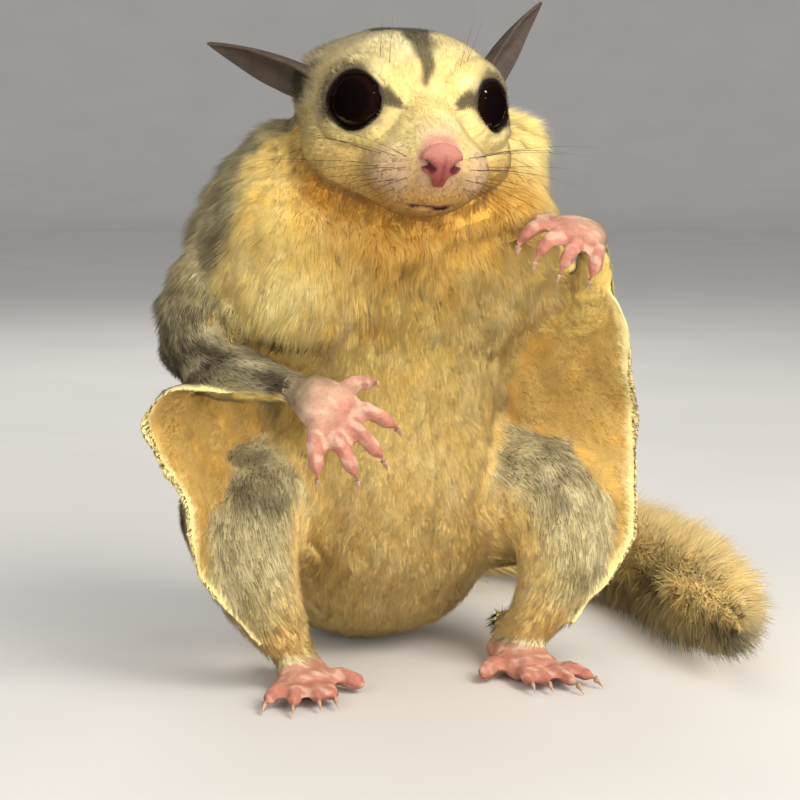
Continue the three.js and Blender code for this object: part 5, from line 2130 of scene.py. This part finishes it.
@dataclass
class Claws:
    """The small curved claws of all hands and feet."""

    thickness: float = 0.7

    def build(self) -> None:
        """Models one claw and sets a copy on each digit."""
        pattern = self.pattern()
        copies = [self.copy(pattern, digit) for digit in every_digit() if digit.claw]
        bpy.data.objects.remove(pattern)
        activate(*copies)
        bpy.ops.object.join()
        piece = just_made("claws")
        finish = HornFinish("glider_claw", (0.62, 0.42, 0.3, 1), (0.36, 0.2, 0.14, 1))
        dress(piece, finish.make(), "bare_skin")

    def pattern(self) -> Piece:
        """One claw a unit long, curved down, from a cone."""
        size = {"radius1": 0.5, "radius2": 0.03, "depth": 1}
        bpy.ops.mesh.primitive_cone_add(vertices=10, end_fill_type="TRIFAN", **size)
        piece = bpy.context.active_object
        activate(piece)
        edit_all((bpy.ops.mesh.subdivide, {"number_cuts": 3}))
        places = places_of(piece)
        share = places[:, 2] + 0.5
        shaped = np.stack([places[:, 0] * 0.8, share, places[:, 1] - 0.55 * share**2], axis=1)
        put_at(piece, shaped)
        edit_all((bpy.ops.mesh.normals_make_consistent, {"inside": False}))
        return piece

    def copy(self, pattern: Piece, digit: Digit) -> Piece:
        """The claw of one digit, with a mesh of its own."""
        piece = pattern.copy()
        piece.data = pattern.data.copy()
        bpy.context.collection.objects.link(piece)
        across = np.cross(digit.forward, digit.upward)
        length = digit.claw * 0.8 + 0.7
        root = digit.joints[-1] + digit.forward * (digit.radius * 0.35) + digit.upward * 0.3
        turned = np.eye(4)
        turned[:3, 0] = across * self.thickness * 1.4
        turned[:3, 1] = digit.forward * length
        turned[:3, 2] = digit.upward * self.thickness * 1.9
        turned[:3, 3] = root + SHIFT
        turned[:3] /= 1000
        piece.data.transform(Matrix(turned))
        return piece


@dataclass
class Whiskers:
    """The long dark whiskers of the muzzle and the shorter ones over the eyes and on the cheeks."""

    width: float = 0.1
    sides: int = 4
    steps: int = 9

    def build(self) -> None:
        """Builds and dresses all whiskers as one piece."""
        draw = np.random.default_rng(7)
        points, faces = [], []
        for sign in SIDES.values():
            for row in range(4):
                for place in range(4):
                    root = np.array((sign * (4.6 + 1.1 * place), -19.4 + 1.7 * place, -5.6 - 1.5 * row))
                    way = np.array((sign * (0.95 + 0.1 * place), -0.3 + 0.3 * place, 0.34 - 0.26 * row))
                    self.add(points, faces, root, way, draw.uniform(15, 23) - 2 * row, draw, -0.18)
            for place in range(2):
                root = np.array((sign * (5.6 + 1.2 * place), -10.5 + 0.9 * place, 7.4 + 0.5 * place))
                way = np.array((sign * (0.1 + 0.15 * place), -0.55, 1.0))
                self.add(points, faces, root, way, draw.uniform(8, 11), draw, 0.05)
            for place in range(2):
                root = np.array((sign * 14.5, -6 + 1.5 * place, -8 + place))
                way = np.array((sign, -0.5, 0.1 - 0.3 * place))
                self.add(points, faces, root, way, draw.uniform(9, 12), draw, -0.1)
        piece = piece_of("whiskers", from_head(np.concatenate(points)), faces)
        finish = HornFinish("glider_whisker", (0.03, 0.022, 0.018, 1), (0.1, 0.07, 0.05, 1), 0.4)
        dress(piece, finish.make(), None)

    def add(
        self, points: list, faces: list, root: Array, way: Array, length: float,
        draw: Chance, sag: float,
    ) -> None:
        """Adds one whisker to the lists.

        Args:
            points: The places so far.
            faces: The faces so far.
            root: About where the whisker grows, in the head's frame.
            way: The direction in which it leaves the skin.
            length: How long it is.
            draw: The source of chance.
            sag: How far it bends down by its tip, as a share of its length.
        """
        way = unit(way + draw.normal(size=3) * 0.07)
        root = HEAD_FORM.draw_on(root[None], unit(root - (0, -10, -6))[None], 12)[0] - way * 1.2
        side = unit(np.cross(way, (0, 0, 1)))
        above = np.cross(side, way)
        start = sum(len(block) for block in points)
        sway = draw.normal() * 0.05
        block = []
        for i in range(self.steps + 1):
            share = i / self.steps
            bent = length * share**2
            middle = root + way * length * share + above * (sag * bent) + side * (sway * bent)
            radius = self.width / 2 * (1 - 0.9 * share)
            for j in range(self.sides):
                angle = 2 * math.pi * j / self.sides
                block.append(middle + side * math.cos(angle) * radius + above * math.sin(angle) * radius)
        points.append(np.array(block))
        for i in range(self.steps):
            for j in range(self.sides):
                k = (j + 1) % self.sides
                a, b = start + i * self.sides, start + (i + 1) * self.sides
                faces.append((a + j, b + j, b + k, a + k))
        faces.append(tuple(start + j for j in range(self.sides)))
        faces.append(tuple(start + self.steps * self.sides + j for j in reversed(range(self.sides))))


@dataclass
class Studio:
    """The pale floor, the soft lights and the camera."""

    azimuth: float = -15.0
    elevation: float = 8.0
    distance: float = 0.36
    field: float = 0.148
    target: Triple = (-0.0052, 0.0, 0.0445)
    sweep: float = 1.5

    def build(self) -> None:
        """Sets the floor, the backdrop, the lights and the camera."""
        self.floor()
        self.backdrop()
        self.light("key_light", (0.24, -0.36, 0.44), 0.3, 2.75, (1.0, 0.96, 0.89))
        self.light("front_light", (0.12, -0.64, 0.2), 0.3, 2.2, (1.0, 0.97, 0.92))
        self.light("fill_light", (-0.5, -0.36, 0.32), 0.5, 1.3, (1.0, 0.97, 0.92))
        self.light("rim_light", (0.0, 0.45, 0.42), 0.35, 1.2, (1.0, 0.98, 0.95))
        self.light("catch_light", (0.22, -0.22, 0.47), 0.03, 0.12, (1.0, 1.0, 1.0)).visible_glossy = True
        self.light("low_catch_light", (0.2, -0.4, 0.36), 0.014, 0.012, (1.0, 1.0, 1.0)).visible_glossy = True
        world = bpy.data.worlds.new("studio")
        world.use_nodes = True
        background = world.node_tree.nodes["Background"]
        background.inputs["Color"].default_value = (0.93, 0.94, 0.96, 1)
        background.inputs["Strength"].default_value = 0.6
        world.cycles_visibility.glossy = False
        bpy.context.scene.world = world
        bpy.context.scene.view_settings.view_transform = "Standard"
        self.camera()

    def floor(self) -> None:
        """A wide pale floor."""
        bpy.ops.mesh.primitive_circle_add(vertices=96, radius=self.sweep, fill_type="NGON")
        floor = bpy.context.active_object
        floor.name = "floor"
        floor.data.materials.append(FloorFinish().make())
        floor.visible_glossy = False

    def backdrop(self) -> None:
        """A pale wall that rises in a sweep from the floor's edge, all round."""
        bpy.ops.mesh.primitive_grid_add(x_subdivisions=96, y_subdivisions=24, size=2)
        wall = bpy.context.active_object
        wall.name = "backdrop"
        turn, share = (places_of(wall)[:, :2].T + 1) / 2
        bend = share * math.pi / 2
        reach = self.sweep - 0.002 + np.sin(bend) * 0.9
        rise = (1 - np.cos(bend)) * 0.9
        around = turn * 2 * math.pi
        places = np.stack([np.cos(around) * reach, np.sin(around) * reach, rise], axis=1)
        put_at(wall, places)
        activate(wall)
        edit_all((bpy.ops.mesh.remove_doubles, {"threshold": 1e-5}))
        wall.data.polygons.foreach_set("use_smooth", np.ones(len(wall.data.polygons), bool))
        wall.data.materials.append(bpy.data.materials["pale_floor"])
        wall.visible_glossy = False

    @staticmethod
    def light(name: str, place: Triple, size: float, power: float, colour: Triple) -> Piece:
        """A soft square light that looks at the animal, and that bare gloss doesn't mirror."""
        lamp = bpy.data.lights.new(name, "AREA")
        lamp.energy, lamp.size, lamp.color = power, size, colour
        holder = bpy.data.objects.new(name, lamp)
        bpy.context.collection.objects.link(holder)
        holder.location = place
        away = Vector(place) - Vector((0, 0, 0.06))
        holder.rotation_euler = away.to_track_quat("Z", "Y").to_euler()
        holder.visible_glossy = False
        return holder

    def camera(self) -> None:
        """The camera, where the photograph was taken from."""
        lens = bpy.data.cameras.new("camera")
        lens.sensor_width = 36
        lens.lens = 36 * self.distance / self.field
        lens.clip_start, lens.clip_end = 0.01, 20
        camera = bpy.data.objects.new("camera", lens)
        bpy.context.collection.objects.link(camera)
        turn, rise = math.radians(self.azimuth), math.radians(self.elevation)
        back = Vector((math.sin(turn) * math.cos(rise), -math.cos(turn) * math.cos(rise), math.sin(rise)))
        camera.location = Vector(self.target) + back * self.distance
        camera.rotation_euler = back.to_track_quat("Z", "Y").to_euler()
        bpy.context.scene.camera = camera


def main() -> None:
    """Builds the whole animal and its studio."""
    logging.basicConfig(level=logging.INFO, format="%(message)s")
    Studio().build()
    Body().build()
    for side in SIDES:
        Eye(side).build()
    Nose().build()
    Claws().build()
    Whiskers().build()


if __name__ == "__main__":
    main()
